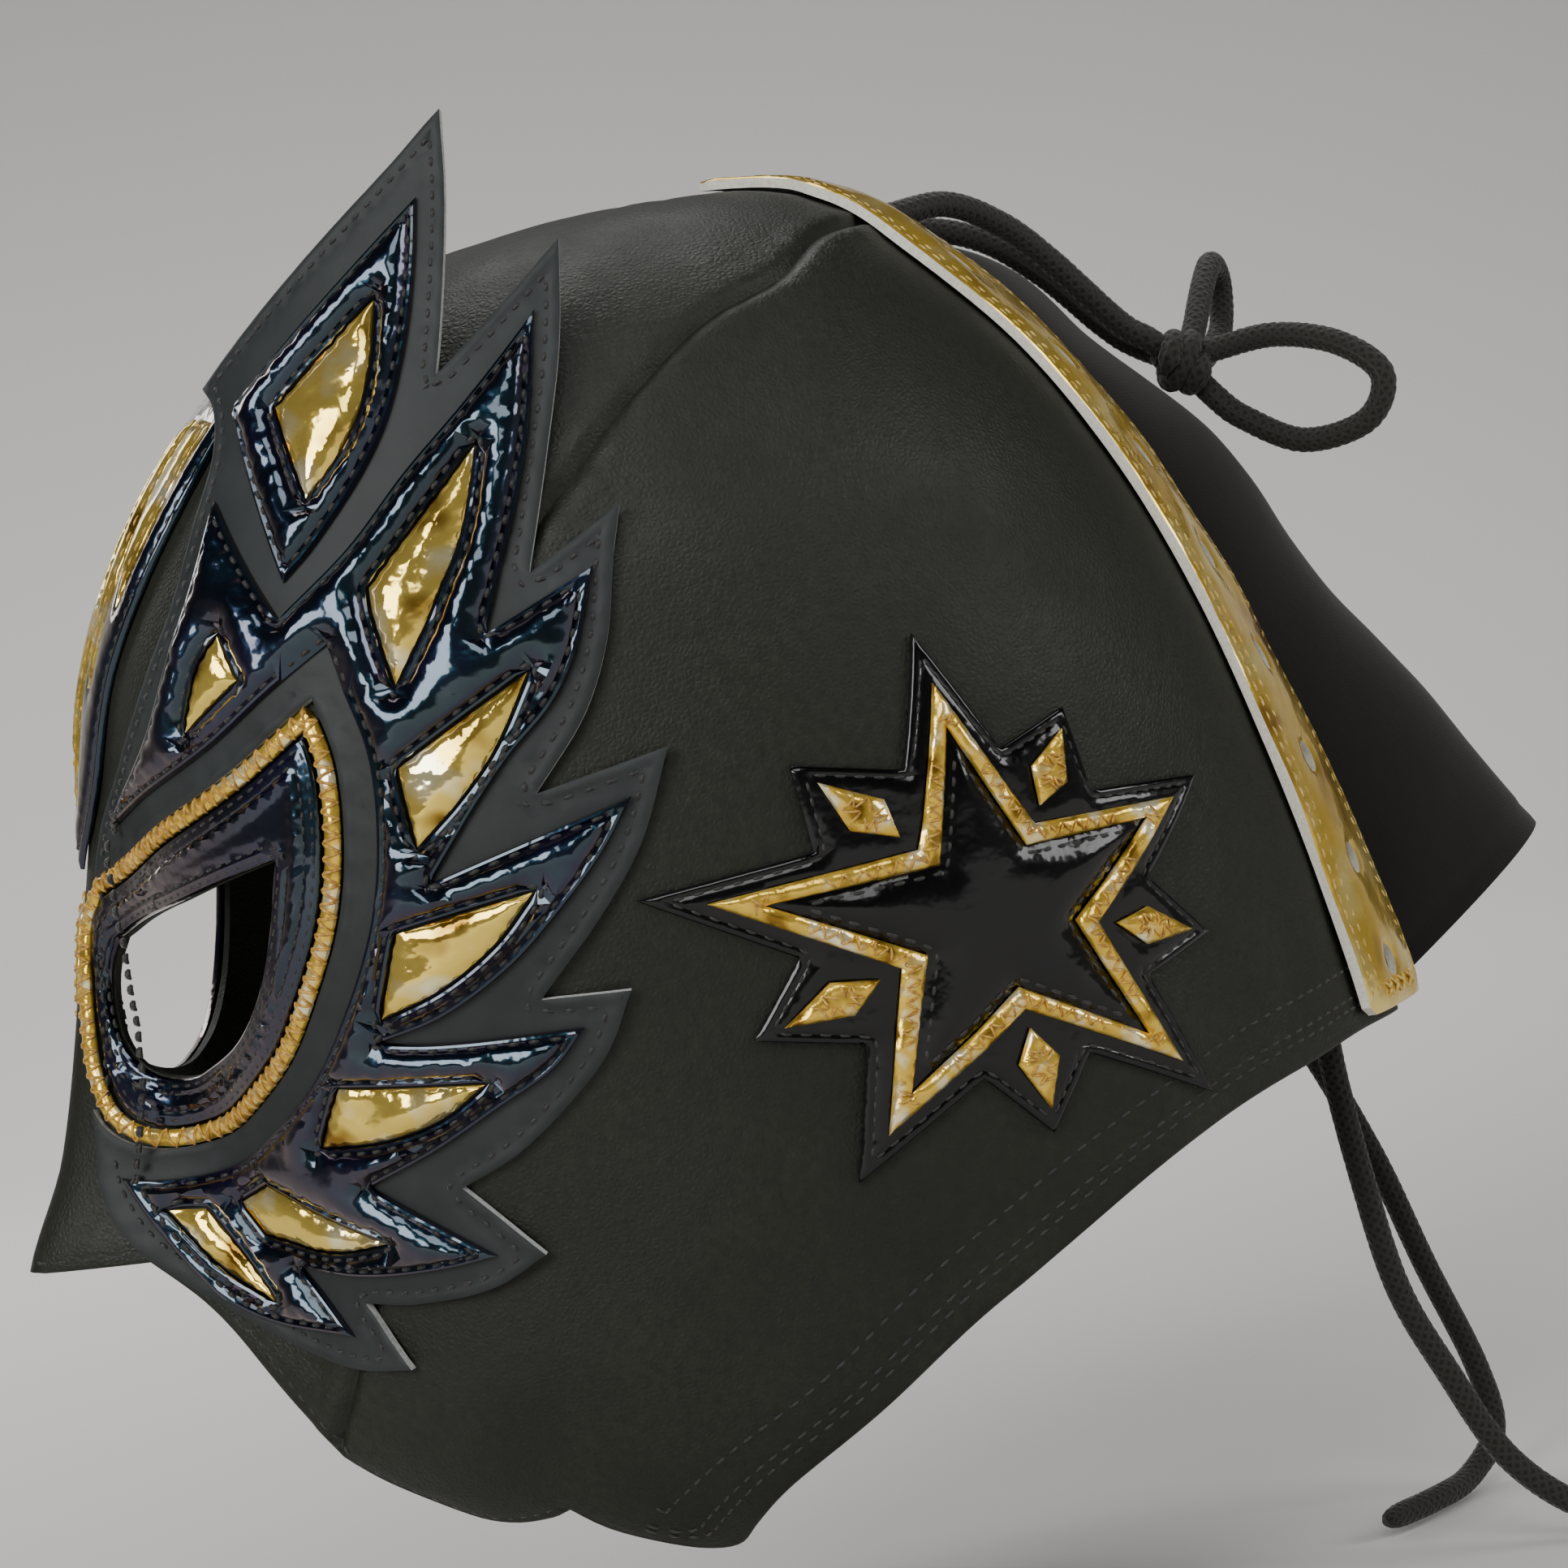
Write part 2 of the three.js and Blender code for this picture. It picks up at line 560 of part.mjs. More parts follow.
function buildFlames() {
  const eye = EYE_PIPING.map(flat);
  const patentBase = CLEARANCE * 2 + BACKING_WALL;
  const windows = GOLD_INLAYS.map((outline) => grown(outline.map(flat), CLEARANCE));
  const eyeBay = grown(eye, CLEARANCE);
  const patentBay = grown(eye, PATENT_MARGIN);
  const top = patentBase + PATENT_WALL;
  addPair('flame_backing',
    layer(plateSheet, FLAME_BACKING.map(flat), CLEARANCE, CLEARANCE + BACKING_WALL, [eyeBay]), vinyl);
  addPair('horn_patent', layer(plateSheet, HORN_PATENT.map(flat), patentBase, top, [windows[1]]), patent);
  const flameWindows = windows.filter((window, i) => i !== 1);
  addPair('flame_patent',
    layer(plateSheet, FLAME_PATENT.map(flat), patentBase, top, [patentBay, ...flameWindows]), patent);
  GOLD_INLAYS.forEach((outline, i) => {
    const inlay = layer(plateSheet, outline.map(flat), patentBase, patentBase + INLAY_WALL);
    addPair(`gold_inlay_${i + 1}`, inlay, gold);
  });
  const innerEdge = grown(eye, -PIPING_WIDTH);
  addPair('eye_piping', layer(headSheet, eye, CLEARANCE, CLEARANCE + PIPING_WALL, [innerEdge]), gold);
  const ringEdge = grown(eye, -PIPING_WIDTH - CLEARANCE);
  addPair('eye_ring',
    layer(headSheet, ringEdge, CLEARANCE, CLEARANCE + RING_WALL, [EYE_OPENING.map(flat)]), patent);
}

// The gold ornament on the forehead

// A layer across the middle of the face, from the outline of its left half
function wholeLayer(outline, inner, outer) {
  const half = layer(headSheet, outline.map(flat), inner, outer);
  return geometryOf(half.add(mirroredSolid(half)));
}

function buildCrest() {
  const base = CLEARANCE + EMBLEM_WALL;
  const top = base + CLEARANCE + GOLD_WALL;
  add('crest_base', wholeLayer(CREST_BASE, CLEARANCE, base), patent);
  add('crest_lancet', wholeLayer(CREST_LANCET, base + CLEARANCE, top), gold);
  CREST_BARS.forEach((outline, i) => {
    addPair(`crest_bar_${i + 1}`, layer(headSheet, outline.map(flat), base + CLEARANCE, top), gold);
  });
}

// The star on each side

// Five like sectors round the star's centre, each with corners at the given reaches
function starPoints(reaches) {
  const centre = flat([STAR_PLACE.angle, STAR_PLACE.drop]);
  const corners = 5 * reaches.length;
  const points = [];
  for (let i = 0; i < corners; i += 1) {
    const turn = Math.PI / 2 + i * 2 * Math.PI / corners;
    const reach = reaches[i % reaches.length];
    points.push(new THREE.Vector2(centre.x + reach * Math.cos(turn), centre.y + reach * Math.sin(turn)));
  }
  return points;
}

function rayPoints(turn) {
  const centre = flat([STAR_PLACE.angle, STAR_PLACE.drop]);
  const near = STAR_RADIUS * STAR_WAIST + STAR_BAR;
  const along = new THREE.Vector2(Math.cos(turn), Math.sin(turn));
  const across = new THREE.Vector2(-along.y, along.x);
  const at = (reach, side) => centre.clone().addScaledVector(along, reach).addScaledVector(across, side);
  const shoulder = near + RAY_LENGTH * 0.4;
  return [at(near, 0), at(shoulder, -RAY_WIDTH / 2), at(near + RAY_LENGTH, 0), at(shoulder, RAY_WIDTH / 2)];
}

function buildStars() {
  const base = CLEARANCE + EMBLEM_WALL;
  const top = base + CLEARANCE + GOLD_WALL;
  const notch = STAR_RADIUS * STAR_WAIST;
  const rayTip = notch + STAR_BAR + RAY_LENGTH;
  const valley = (STAR_RADIUS + notch) / 2;
  const outline = starPoints([STAR_RADIUS, notch]);
  const border = starPoints([STAR_RADIUS + STAR_BORDER * 2, valley, rayTip + STAR_BORDER, valley]);
  addPair('star_backing', layer(headSheet, border, CLEARANCE, base), patent);
  const bars = layer(headSheet, outline, base + CLEARANCE, top, [grown(outline, -STAR_BAR)]);
  addPair('star_outline', bars, gold);
  for (let i = 0; i < 5; i += 1) {
    const turn = Math.PI / 2 + (2 * i + 1) * Math.PI / 5;
    addPair(`star_ray_${i + 1}`, layer(headSheet, rayPoints(turn), base + CLEARANCE, top), gold);
  }
}

// The lacing strips and the tongue

function holeAt(drop) {
  const { outer, inner } = lacingAt(drop);
  const middle = (outer + inner) / 2;
  const foot = onHead(middle, drop);
  const outward = lifted(onHead, middle, drop, 1).sub(foot);
  const geometry = new THREE.CylinderGeometry(HOLE_WIDTH / 2, HOLE_WIDTH / 2, 6 * STRIP_WALL, 7);
  geometry.applyQuaternion(new THREE.Quaternion().setFromUnitVectors(new THREE.Vector3(0, 1, 0), outward));
  geometry.translate(foot.x, foot.y, foot.z);
  return solidOf(geometry);
}

function buildStrips() {
  const first = levelAt(LACING[0].drop / 100);
  const last = levelAt(LACING[LACING.length - 1].drop / 100);
  const down = 12;
  const geometry = new THREE.BoxGeometry(1, 1, 1, 2, down, 1);
  const position = geometry.attributes.position;
  for (let i = 0; i < position.count; i += 1) {
    const row = Math.round((0.5 - position.getY(i)) * down);
    const level = THREE.MathUtils.lerp(first, last, row / down);
    const { outer, inner } = lacingAt(column('drop', level) * 100);
    const angle = THREE.MathUtils.lerp(outer, inner, position.getX(i) + 0.5);
    const out = position.getZ(i) > 0 ? STRIP_GAP + STRIP_WALL : STRIP_GAP;
    const point = lifted(onLevel, angle, level, out);
    position.setXYZ(i, point.x, point.y, point.z);
  }
  let strip = solidOf(geometry);
  for (let i = 0; i < HOLE_COUNT; i += 1) {
    strip = strip.subtract(holeAt(THREE.MathUtils.lerp(TOP_HOLE, BOTTOM_HOLE, i / (HOLE_COUNT - 1))));
  }
  addPair('lacing_strip', strip, gold);
}

// A point of the tongue: its edges lie inside the hood and its middle stands out of the gap
function tonguePoint(across, down, depth) {
  const place = down * (TONGUE.length - 1);
  const row = Math.min(Math.floor(place), TONGUE.length - 2);
  const share = place - row;
  const mix = (name) => THREE.MathUtils.lerp(TONGUE[row][name], TONGUE[row + 1][name], share);
  const drop = mix('drop');
  const gap = 180 - lacingAt(drop).inner;
  const edge = gap + TONGUE_TUCK;
  const point = lifted(onHead, 180 - edge * across, drop, -HOOD_WALL - TONGUE_DEPTH - depth);
  const middle = Math.abs(across) * edge / (gap - TONGUE_INSET);
  const bulge = Math.max(1 - middle ** 2, 0);
  point.y += bulge * mix('out') * HEAD_HEIGHT;
  point.z += bulge * mix('rise') * HEAD_HEIGHT;
  return point;
}

function buildTongue() {
  const [acrossSteps, downSteps] = [12, 9];
  const geometry = new THREE.BoxGeometry(1, 1, 1, acrossSteps, downSteps, 1);
  const position = geometry.attributes.position;
  for (let i = 0; i < position.count; i += 1) {
    const across = -2 * position.getX(i);
    const down = 0.5 - position.getY(i);
    const step = 0.01;
    const at = tonguePoint(across, down, 0);
    const side = tonguePoint(across - step, down, 0).sub(tonguePoint(across + step, down, 0));
    const low = Math.min(down + step, 1);
    const fall = tonguePoint(across, low, 0).sub(tonguePoint(across, low - step, 0));
    const inward = side.cross(fall).normalize();
    if (position.getZ(i) < 0) at.addScaledVector(inward, TONGUE_WALL);
    position.setXYZ(i, at.x, at.y, at.z);
  }
  add('tongue', geometryOf(solidOf(geometry)), cloth);
}

// The laces

function tube(points, steps) {
  const path = new THREE.CatmullRomCurve3(points.map((point) => new THREE.Vector3(...point)));
  const circle = new THREE.Shape();
  for (let i = 0; i < 8; i += 1) {
    const turn = i * Math.PI / 4;
    const [x, y] = [Math.cos(turn) * LACE_DIAMETER / 2, Math.sin(turn) * LACE_DIAMETER / 2];
    if (i === 0) circle.moveTo(x, y);
    else circle.lineTo(x, y);
  }
  return new THREE.ExtrudeGeometry(circle, { steps, bevelEnabled: false, extrudePath: path });
}

function buildLaces() {
  for (const [name, route] of Object.entries(LACE_ROUTES)) {
    add(name, geometryOf(solidOf(tube(route, Math.round(1.2 * route.length)))), braid);
  }
  const knot = new THREE.SphereGeometry(KNOT_LENGTH, 8, 6);
  knot.scale(...KNOT_SHAPE);
  knot.translate(...KNOT_PLACE);
  add('bow_knot', geometryOf(solidOf(knot)), braid);
}

buildHood();
buildFlames();
buildCrest();
buildStars();
buildStrips();
buildTongue();
buildLaces();

export default mask;
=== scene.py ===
"""The looks of a laced wrestling mask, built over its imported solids.

Sizes are in millimetres in the code and in metres in Blender. +Z is up, the face looks
along -Y and the wearer's left is +X. The crown of the head is the origin.
"""

from __future__ import annotations

import logging
import math
import sys
from dataclasses import dataclass, field
from enum import Enum
from typing import Callable, Optional, Sequence

import bpy
import numpy as np
from bpy.types import Material, Node, NodeSocket, NodeTree, Object
from mathutils import Matrix, Vector
from mathutils.geometry import delaunay_2d_cdt


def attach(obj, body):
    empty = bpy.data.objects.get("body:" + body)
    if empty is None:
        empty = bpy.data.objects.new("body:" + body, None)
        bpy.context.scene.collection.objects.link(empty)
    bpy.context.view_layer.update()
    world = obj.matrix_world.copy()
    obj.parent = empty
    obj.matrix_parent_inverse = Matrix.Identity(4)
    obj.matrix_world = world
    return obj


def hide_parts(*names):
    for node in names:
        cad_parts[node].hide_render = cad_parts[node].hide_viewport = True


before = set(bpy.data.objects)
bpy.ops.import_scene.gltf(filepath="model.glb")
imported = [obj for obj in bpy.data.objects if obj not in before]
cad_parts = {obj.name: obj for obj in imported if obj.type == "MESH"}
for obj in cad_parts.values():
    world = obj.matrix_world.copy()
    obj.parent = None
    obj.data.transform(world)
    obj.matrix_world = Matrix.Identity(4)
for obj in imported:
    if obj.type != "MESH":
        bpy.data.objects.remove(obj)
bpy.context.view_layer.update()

LOG = logging.getLogger("wrestling_mask")
MM = 0.001
ARC = 1.5
TALL = 2.0

Array = np.ndarray
Place = Callable[[Array, "Array | float"], Array]
Lift = Callable[[Array], Array]


class Side(Enum):
    """The two sides of the mask, by the wearer."""

    LEFT = "left"
    RIGHT = "right"


# Sizes shared with the solids.

SECTIONS = np.array([
    # drop, front, back, half, centre, nose, spread
    (0, 0, 0, 0, 0, 0, 0.18), (0.01, 0.27, 0.25, 0.29, 0, 0, 0.18),
    (0.04, 0.52, 0.4, 0.55, -0.02, 0, 0.18), (0.1, 0.73, 0.53, 0.74, -0.02, 0, 0.18),
    (0.19, 0.9, 0.67, 0.87, 0, 0, 0.18), (0.3, 1.01, 0.79, 0.96, 0.03, 0.03, 0.18),
    (0.425, 1.04, 0.89, 1, 0.06, 0.13, 0.17), (0.55, 1.03, 0.97, 1, 0.08, 0.34, 0.16),
    (0.675, 0.99, 1.04, 0.96, 0.1, 0.66, 0.18), (0.8, 0.96, 1.09, 0.92, 0.12, 1, 0.21),
    (0.925, 0.95, 1.1, 0.87, 0.12, 0.63, 0.29), (1.025, 0.82, 0.98, 0.79, 0.08, 0.16, 0.34),
    (1.1, 0.58, 0.86, 0.7, 0.04, 0, 0.34), (1.2, 0.45, 0.74, 0.61, 0.02, 0, 0.34),
])

FLAME_BACKING = [
    [60, -5.8], [60, 1], [59, 11], [58.5, 14.2], [71.5, 6], [70.4, 13.5], [68.2, 21.7],
    [65.8, 30.4], [73.8, 26.8], [72.4, 31.2], [70.4, 36.4], [67.2, 41.4], [62, 46.4],
    [72.6, 45], [68.7, 51.6], [64.6, 55.9], [57.8, 61.4], [64.8, 62], [61.4, 66.5],
    [57, 69.8], [51.7, 72.7], [46, 74.5], [51.8, 80.6], [46.7, 82.5], [38.6, 83],
    [31.7, 82.5], [36.4, 88], [29.6, 87.6], [24, 86], [18, 83.2], [13.5, 80], [9.5, 76],
    [7.5, 73], [5.8, 69], [5.8, 46], [8, 42], [16, 37], [23, 32.2], [26.8, 28.2],
    [30, 20.6], [31.9, 15.7], [30.8, 12.2], [28.2, 10.4],
]
HORN_PATENT = [
    [35, 13], [57, 0.5], [56.7, 5.5], [55.4, 12.3], [53, 18.2], [46.6, 25.1], [43.6, 27.2],
]
FLAME_PATENT = [
    [68.4, 11], [66.9, 19.7], [63.6, 29.9], [61.5, 34.1], [70.9, 30.9], [67.9, 36.9],
    [65.1, 40.2], [60.9, 43.3], [52.2, 51.2], [69, 48], [66, 51.4], [61.1, 55.4],
    [56.3, 58.5], [49.5, 61.2], [43.2, 62.2], [48, 63], [60.5, 64], [57.4, 66.5],
    [51.7, 68.8], [45, 71.2], [37, 73.2], [47.6, 80], [42.9, 80.4], [32.5, 80.2],
    [24, 79], [30, 85], [20, 83.3], [15.8, 81.2], [13.4, 78.6], [11.2, 75.5], [9, 72],
    [7.2, 68.6], [7.2, 46], [9, 43.9], [24.4, 35.8], [28.4, 31.6], [30.9, 27.6],
    [33.8, 19.7], [43.4, 29.9], [50.1, 25.8], [55.4, 21.1], [61, 16.9],
]
GOLD_INLAYS = [
    [[36.3, 30], [38.3, 33.5], [31, 36.4], [33.6, 32.1]],
    [[52.3, 7.6], [51.7, 13.1], [50.1, 17.1], [45.8, 21.4], [41.4, 13.9]],
    [[62, 20.3], [60.1, 27.2], [57.2, 31.9], [53.4, 36.4], [52.3, 29.1]],
    [[63.8, 37.6], [59.5, 42.9], [56, 45.8], [52, 48.4], [52, 42.5]],
    [[59.8, 53.4], [55.8, 56.5], [50.4, 59], [44.4, 60.4], [48.2, 54.4]],
    [[51.2, 66.8], [46.5, 68.8], [40.7, 69.7], [33, 69.5], [37.3, 65.2]],
    [[36.6, 77.8], [29.6, 77.9], [20.4, 76.1], [18, 73.3], [22.4, 72.2]],
    [[20.2, 81.6], [15.6, 78.5], [11.3, 73.2], [14, 73.5]],
]
EYE_PIPING = [
    [45.4, 36.2], [46.3, 41], [45.2, 47.5], [42.6, 53], [38, 58.2], [32.4, 62.5], [24, 66],
    [16, 68], [10, 68], [6.5, 66], [4.2, 62], [3, 57], [2.6, 52.5], [3.2, 48.8], [6, 46],
    [20, 43.3], [35, 40.2],
]
EYE_OPENING = [
    [38.2, 47.2], [35.2, 52.6], [31.6, 56.8], [26, 60.2], [18.5, 62.2], [13, 63], [9.6, 62],
    [7.4, 59.5], [6.4, 56], [6.6, 53], [8, 51], [12, 50], [23, 48.9],
]
CREST_BASE = [[0, 9], [14, 9.5], [25, 11.5], [24, 17], [19, 24], [12, 31], [6, 39], [0, 45]]
CREST_LANCET = [[0, 11], [2.8, 14], [2.6, 26], [0, 40]]
CREST_BARS = [
    [[6.2, 11.6], [11.4, 12], [10, 22], [6, 31], [5.6, 24]],
    [[14.8, 12.2], [21.6, 13], [19, 19], [14, 25.5], [13.2, 20]],
]
HEM = [
    [0, 76.2], [2.5, 76.3], [10, 77], [13.5, 80.8], [17.7, 85.8], [22.7, 92.4], [24.6, 96.5],
    [28.6, 99.9], [33, 102.3], [41, 102.4], [44, 101.8], [46, 104.6], [50, 107.2],
    [55, 107.6], [60, 106], [67, 103], [77, 98.6], [88, 92.2], [101, 86.5], [113, 82.9],
    [120, 81.4], [128, 80.4], [138, 79.6], [150, 79.4],
]
SEAM = [
    [60, 6], [38, 12], [22, 15], [10, 22], [-4, 27], [-18, 36], [-30, 46], [-45, 62],
    [-60, 92], [-70, 130], [-80, 156], [-88, 176], [-95, 194],
]
# drop, outer angle, inner angle of the lacing strips
LACING = np.array([
    (0.6, 118, 158), (1, 125, 161), (4, 131, 159), (10, 132, 153), (19, 137, 155),
    (30, 139, 157), (55, 138.5, 158), (78.6, 137.5, 157),
])
# drop, how far out and how far up the tongue's middle stands, as shares of the head's height
TONGUE_ROWS = np.array([
    (0.6, 0, 0), (4, 0.01, 0.005), (9, 0.06, 0.015), (19, 0.07, 0.025), (32, 0.1, 0.045),
    (50, 0.115, 0.075), (66, 0.15, 0.1), (78.4, 0.195, 0.11),
])
LACE_ROUTES = {
    "lace_strand_left": [
        [17, 41.5, -10.5], [12, 54, -9.5], [7, 65, -14], [5.5, 73, -21.5], [5.2, 83, -34],
        [6.6, 87.3, -38.1]],
    "lace_strand_right": [
        [-17, 41.5, -10.5], [-12, 54, -9.5], [-6.5, 65, -14], [-3, 74, -22.6],
        [-1.4, 83, -33.8], [0.2, 87.6, -38.4]],
    "bow_loop_left": [
        [8, 99.2, -42], [13, 108, -42], [20, 116, -46], [24, 121, -53], [21, 118, -60],
        [14, 109, -61], [9, 101, -55], [7, 97, -50]],
    "bow_loop_right": [
        [3.5, 96.8, -38.4], [-3, 103, -30], [-9, 108, -25.5], [-14, 111, -29],
        [-13, 109, -37], [-7, 103, -41.5], [0, 99, -42.5]],
    "lace_end_left": [
        [25, 90.2, -139], [25, 88, -143.5], [25, 87, -150], [25, 86, -165], [25, 87, -185],
        [26, 89, -206], [28, 94, -222], [32, 100, -238], [38, 109, -248], [46, 118, -250]],
    "lace_end_right": [
        [-24, 90.6, -139], [-24, 88.4, -144], [-23, 90.6, -152], [-20, 99, -166],
        [-17, 107, -190], [-15, 112, -212], [-13, 117, -232], [-11, 117, -244],
        [-7, 109, -250], [0, 99, -250.4], [7, 86, -250]],
}
KNOT_CENTRE = (6.0, 92.6, -42.9)


# Numbers and colours.


def hex_linear(code: str) -> tuple[float, float, float, float]:
    """Turns an sRGB hex colour into a linear one.

    Args:
        code: The colour as #rrggbb.

    Returns:
        Linear red, green, blue and an alpha of 1.
    """
    parts = [int(code[i:i + 2], 16) / 255 for i in (1, 3, 5)]
    lin = [c / 12.92 if c <= 0.04045 else ((c + 0.055) / 1.055) ** 2.4 for c in parts]
    return (lin[0], lin[1], lin[2], 1.0)


def eased(at: Array, xs: Array, ys: Array) -> Array:
    """Reads a smooth curve through a few points.

    Args:
        at: Where to read it.
        xs: The points' places, rising.
        ys: The points' values.

    Returns:
        The curve's values.
    """
    slope = np.gradient(ys, xs)
    i = np.clip(np.searchsorted(xs, at) - 1, 0, len(xs) - 2)
    step = xs[i + 1] - xs[i]
    t = np.clip((at - xs[i]) / step, 0, 1)
    h = 2 * t**3 - 3 * t**2
    return ((h + 1) * ys[i] + (t**3 - 2 * t**2 + t) * step * slope[i]
            - h * ys[i + 1] + (t**3 - t**2) * step * slope[i + 1])


def lengths_along(path: Array) -> Array:
    """How far along a path each of its points lies, from its start."""
    return np.concatenate([[0], np.cumsum(np.linalg.norm(np.diff(path, axis=0), axis=1))])


def hump(at: Array, middle: float, width: float) -> Array:
    """A smooth hump, 1 high at its middle and 0.37 high a width away from it."""
    return np.exp(-((at - middle) / width) ** 2)


def unit(ways: Array) -> Array:
    """The same directions with a length of 1."""
    return ways / np.maximum(np.linalg.norm(ways, axis=-1, keepdims=True), 1e-9)


def ripple(points: Array, size: float, seed: int = 1, waves: int = 9) -> Array:
    """Makes a soft, even noise from a few crossing waves.

    Args:
        points: Places, in millimetres.
        size: The usual width of a bump, in millimetres.
        seed: Chooses the pattern.
        waves: How many waves are summed.

    Returns:
        A value of about -1 to 1 for each place.
    """
    rng = np.random.default_rng(seed)
    total = np.zeros(len(points))
    for _ in range(waves):
        way = rng.normal(size=points.shape[1])
        way /= np.linalg.norm(way)
        turn = math.tau / (2 * size * rng.uniform(0.7, 1.6))
        total += np.sin(points @ way * turn + rng.uniform(0, math.tau))
    return total / math.sqrt(waves) / 1.2


# The head form.


@dataclass
class HeadForm:
    """The head that the mask keeps the form of, as in the solids.

    A place on it is an angle from the face towards the wearer's left, in degrees, and a
    drop below the crown in per cent of the height.
    """

    height: float = 200.0
    half_length: float = 100.0
    half_breadth: float = 77.0
    nose_reach: float = 38.0
    face_power: float = 2.3
    nape_power: float = 2.0
    plate_drop: float = 30.0
    lean: tuple[float, float, float] = (-0.4, -0.3, -0.2)
    levels: Array = field(init=False)
    drops: Array = field(init=False)

    def __post_init__(self) -> None:
        """Tabulates the drop of each level once."""
        self.levels = np.linspace(0, len(SECTIONS) - 1, 2601)
        self.drops = self.column(0, self.levels) * 100

    def column(self, index: int, level: Array) -> Array:
        """Reads one column of the section table between its rows.

        Args:
            index: Which column.
            level: Row numbers, whole or not.

        Returns:
            The column's values there.
        """
        last = len(SECTIONS) - 1
        row = np.clip(np.floor(level).astype(int), 0, last - 1)
        t = level - row

        def at(i: Array) -> Array:
            """The value of a row, mirrored past the crown."""
            turn = np.where((i < 0) & (1 <= index <= 3), -1.0, 1.0)
            return SECTIONS[np.clip(np.abs(i), 0, last), index] * turn

        a, b, c, d = at(row - 1), at(row), at(row + 1), at(row + 2)
        return 0.5 * (2 * b + (c - a) * t + (2 * a - 5 * b + 4 * c - d) * t**2
                      + (3 * b - a - 3 * c + d) * t**3)

    def point(self, angle: Array, drop: Array, plate: bool = False) -> Array:
        """Places on the form.

        Args:
            angle: Angles in degrees.
            drop: Drops in per cent.
            plate: Whether the part above the brow stands up, as the flames do.

        Returns:
            One row of x, y and z for each place.
        """
        low = np.maximum(drop, self.plate_drop) if plate else np.maximum(drop, 0)
        level = np.interp(low, self.drops, self.levels)
        rise = (low - drop) / 100 * self.height if plate else np.zeros_like(drop)
        front = self.column(1, level) * self.half_length + self.lean[0] * rise
        back = self.column(2, level) * self.half_length + self.lean[1] * rise
        half = self.column(3, level) * self.half_breadth + self.lean[2] * rise
        centre = self.column(4, level) * self.half_length
        nose = self.column(5, level) * self.nose_reach * np.maximum(1 - rise / self.nose_reach, 0)
        spread = self.column(6, level) * self.half_breadth
        side, ahead = np.sin(np.radians(angle)), np.cos(np.radians(angle))
        power = np.where(ahead > 0, self.face_power, self.nape_power)
        reach = (np.abs(side) ** power + np.abs(ahead) ** power) ** (-1 / power)
        x = half * side * reach
        depth = np.where(ahead > 0, front + centre, back - centre)
        bridge = np.where(ahead > 0, nose * np.exp(-((x / spread) ** 2)), 0)
        y = centre - depth * ahead * reach - bridge
        return np.stack([x, y, -drop / 100 * self.height], -1)

    def lifted(self, angle: Array, drop: Array, lift: Array | float,
               plate: bool = False) -> Array:
        """Places at a distance outside the form.

        Args:
            angle: Angles in degrees.
            drop: Drops in per cent.
            lift: Distances outwards, in millimetres.
            plate: As for point.

        Returns:
            One row of x, y and z for each place.
        """
        across = self.point(angle + 0.7, drop, plate) - self.point(angle - 0.7, drop, plate)
        below = self.point(angle, drop + 0.4, plate) - self.point(angle, drop - 0.4, plate)
        out = np.cross(below, across)
        size = np.linalg.norm(out, axis=-1, keepdims=True)
        up = np.zeros_like(out)
        up[..., 2] = 1
        out = np.where(size > 1e-3, out / np.maximum(size, 1e-9), up)
        return self.point(angle, drop, plate) + out * np.asarray(lift)[..., None]

    def on_head(self, flat: Array, lift: Array | float) -> Array:
        """Bends flat places of the pattern onto the head."""
        return self.lifted(flat[:, 0] / ARC, -flat[:, 1] / TALL, lift)

    def on_plate(self, flat: Array, lift: Array | float) -> Array:
        """Bends flat places of the flames' pattern onto their plate."""
        return self.lifted(flat[:, 0] / ARC, -flat[:, 1] / TALL, lift, plate=True)


HEAD = HeadForm()


# Flat outlines.


def flat(outline: Sequence[Sequence[float]]) -> Array:
    """Turns angles and drops into millimetres on the flat pattern."""
    return np.array(outline, float) * (ARC, -TALL)


def area_of(loop: Array) -> float:
    """The signed area of a closed outline, positive where it runs anticlockwise."""
    nxt = np.roll(loop, -1, axis=0)
    return float(np.sum(loop[:, 0] * nxt[:, 1] - nxt[:, 0] * loop[:, 1]) / 2)


def grown(loop: Array, distance: float) -> Array:
    """Moves each side of an outline outwards, or inwards where distance is negative."""
    turn = 1 if area_of(loop) > 0 else -1
    a = loop - np.roll(loop, 1, axis=0)
    b = np.roll(loop, -1, axis=0) - loop
    a = unit(a)
    b = unit(b)
    normal = np.stack([a[:, 1] + b[:, 1], -a[:, 0] - b[:, 0]], 1)
    normal = unit(normal)
    stretch = np.maximum(normal[:, 0] * a[:, 1] - normal[:, 1] * a[:, 0], 0.45)
    return loop + normal * (turn * distance / stretch)[:, None]


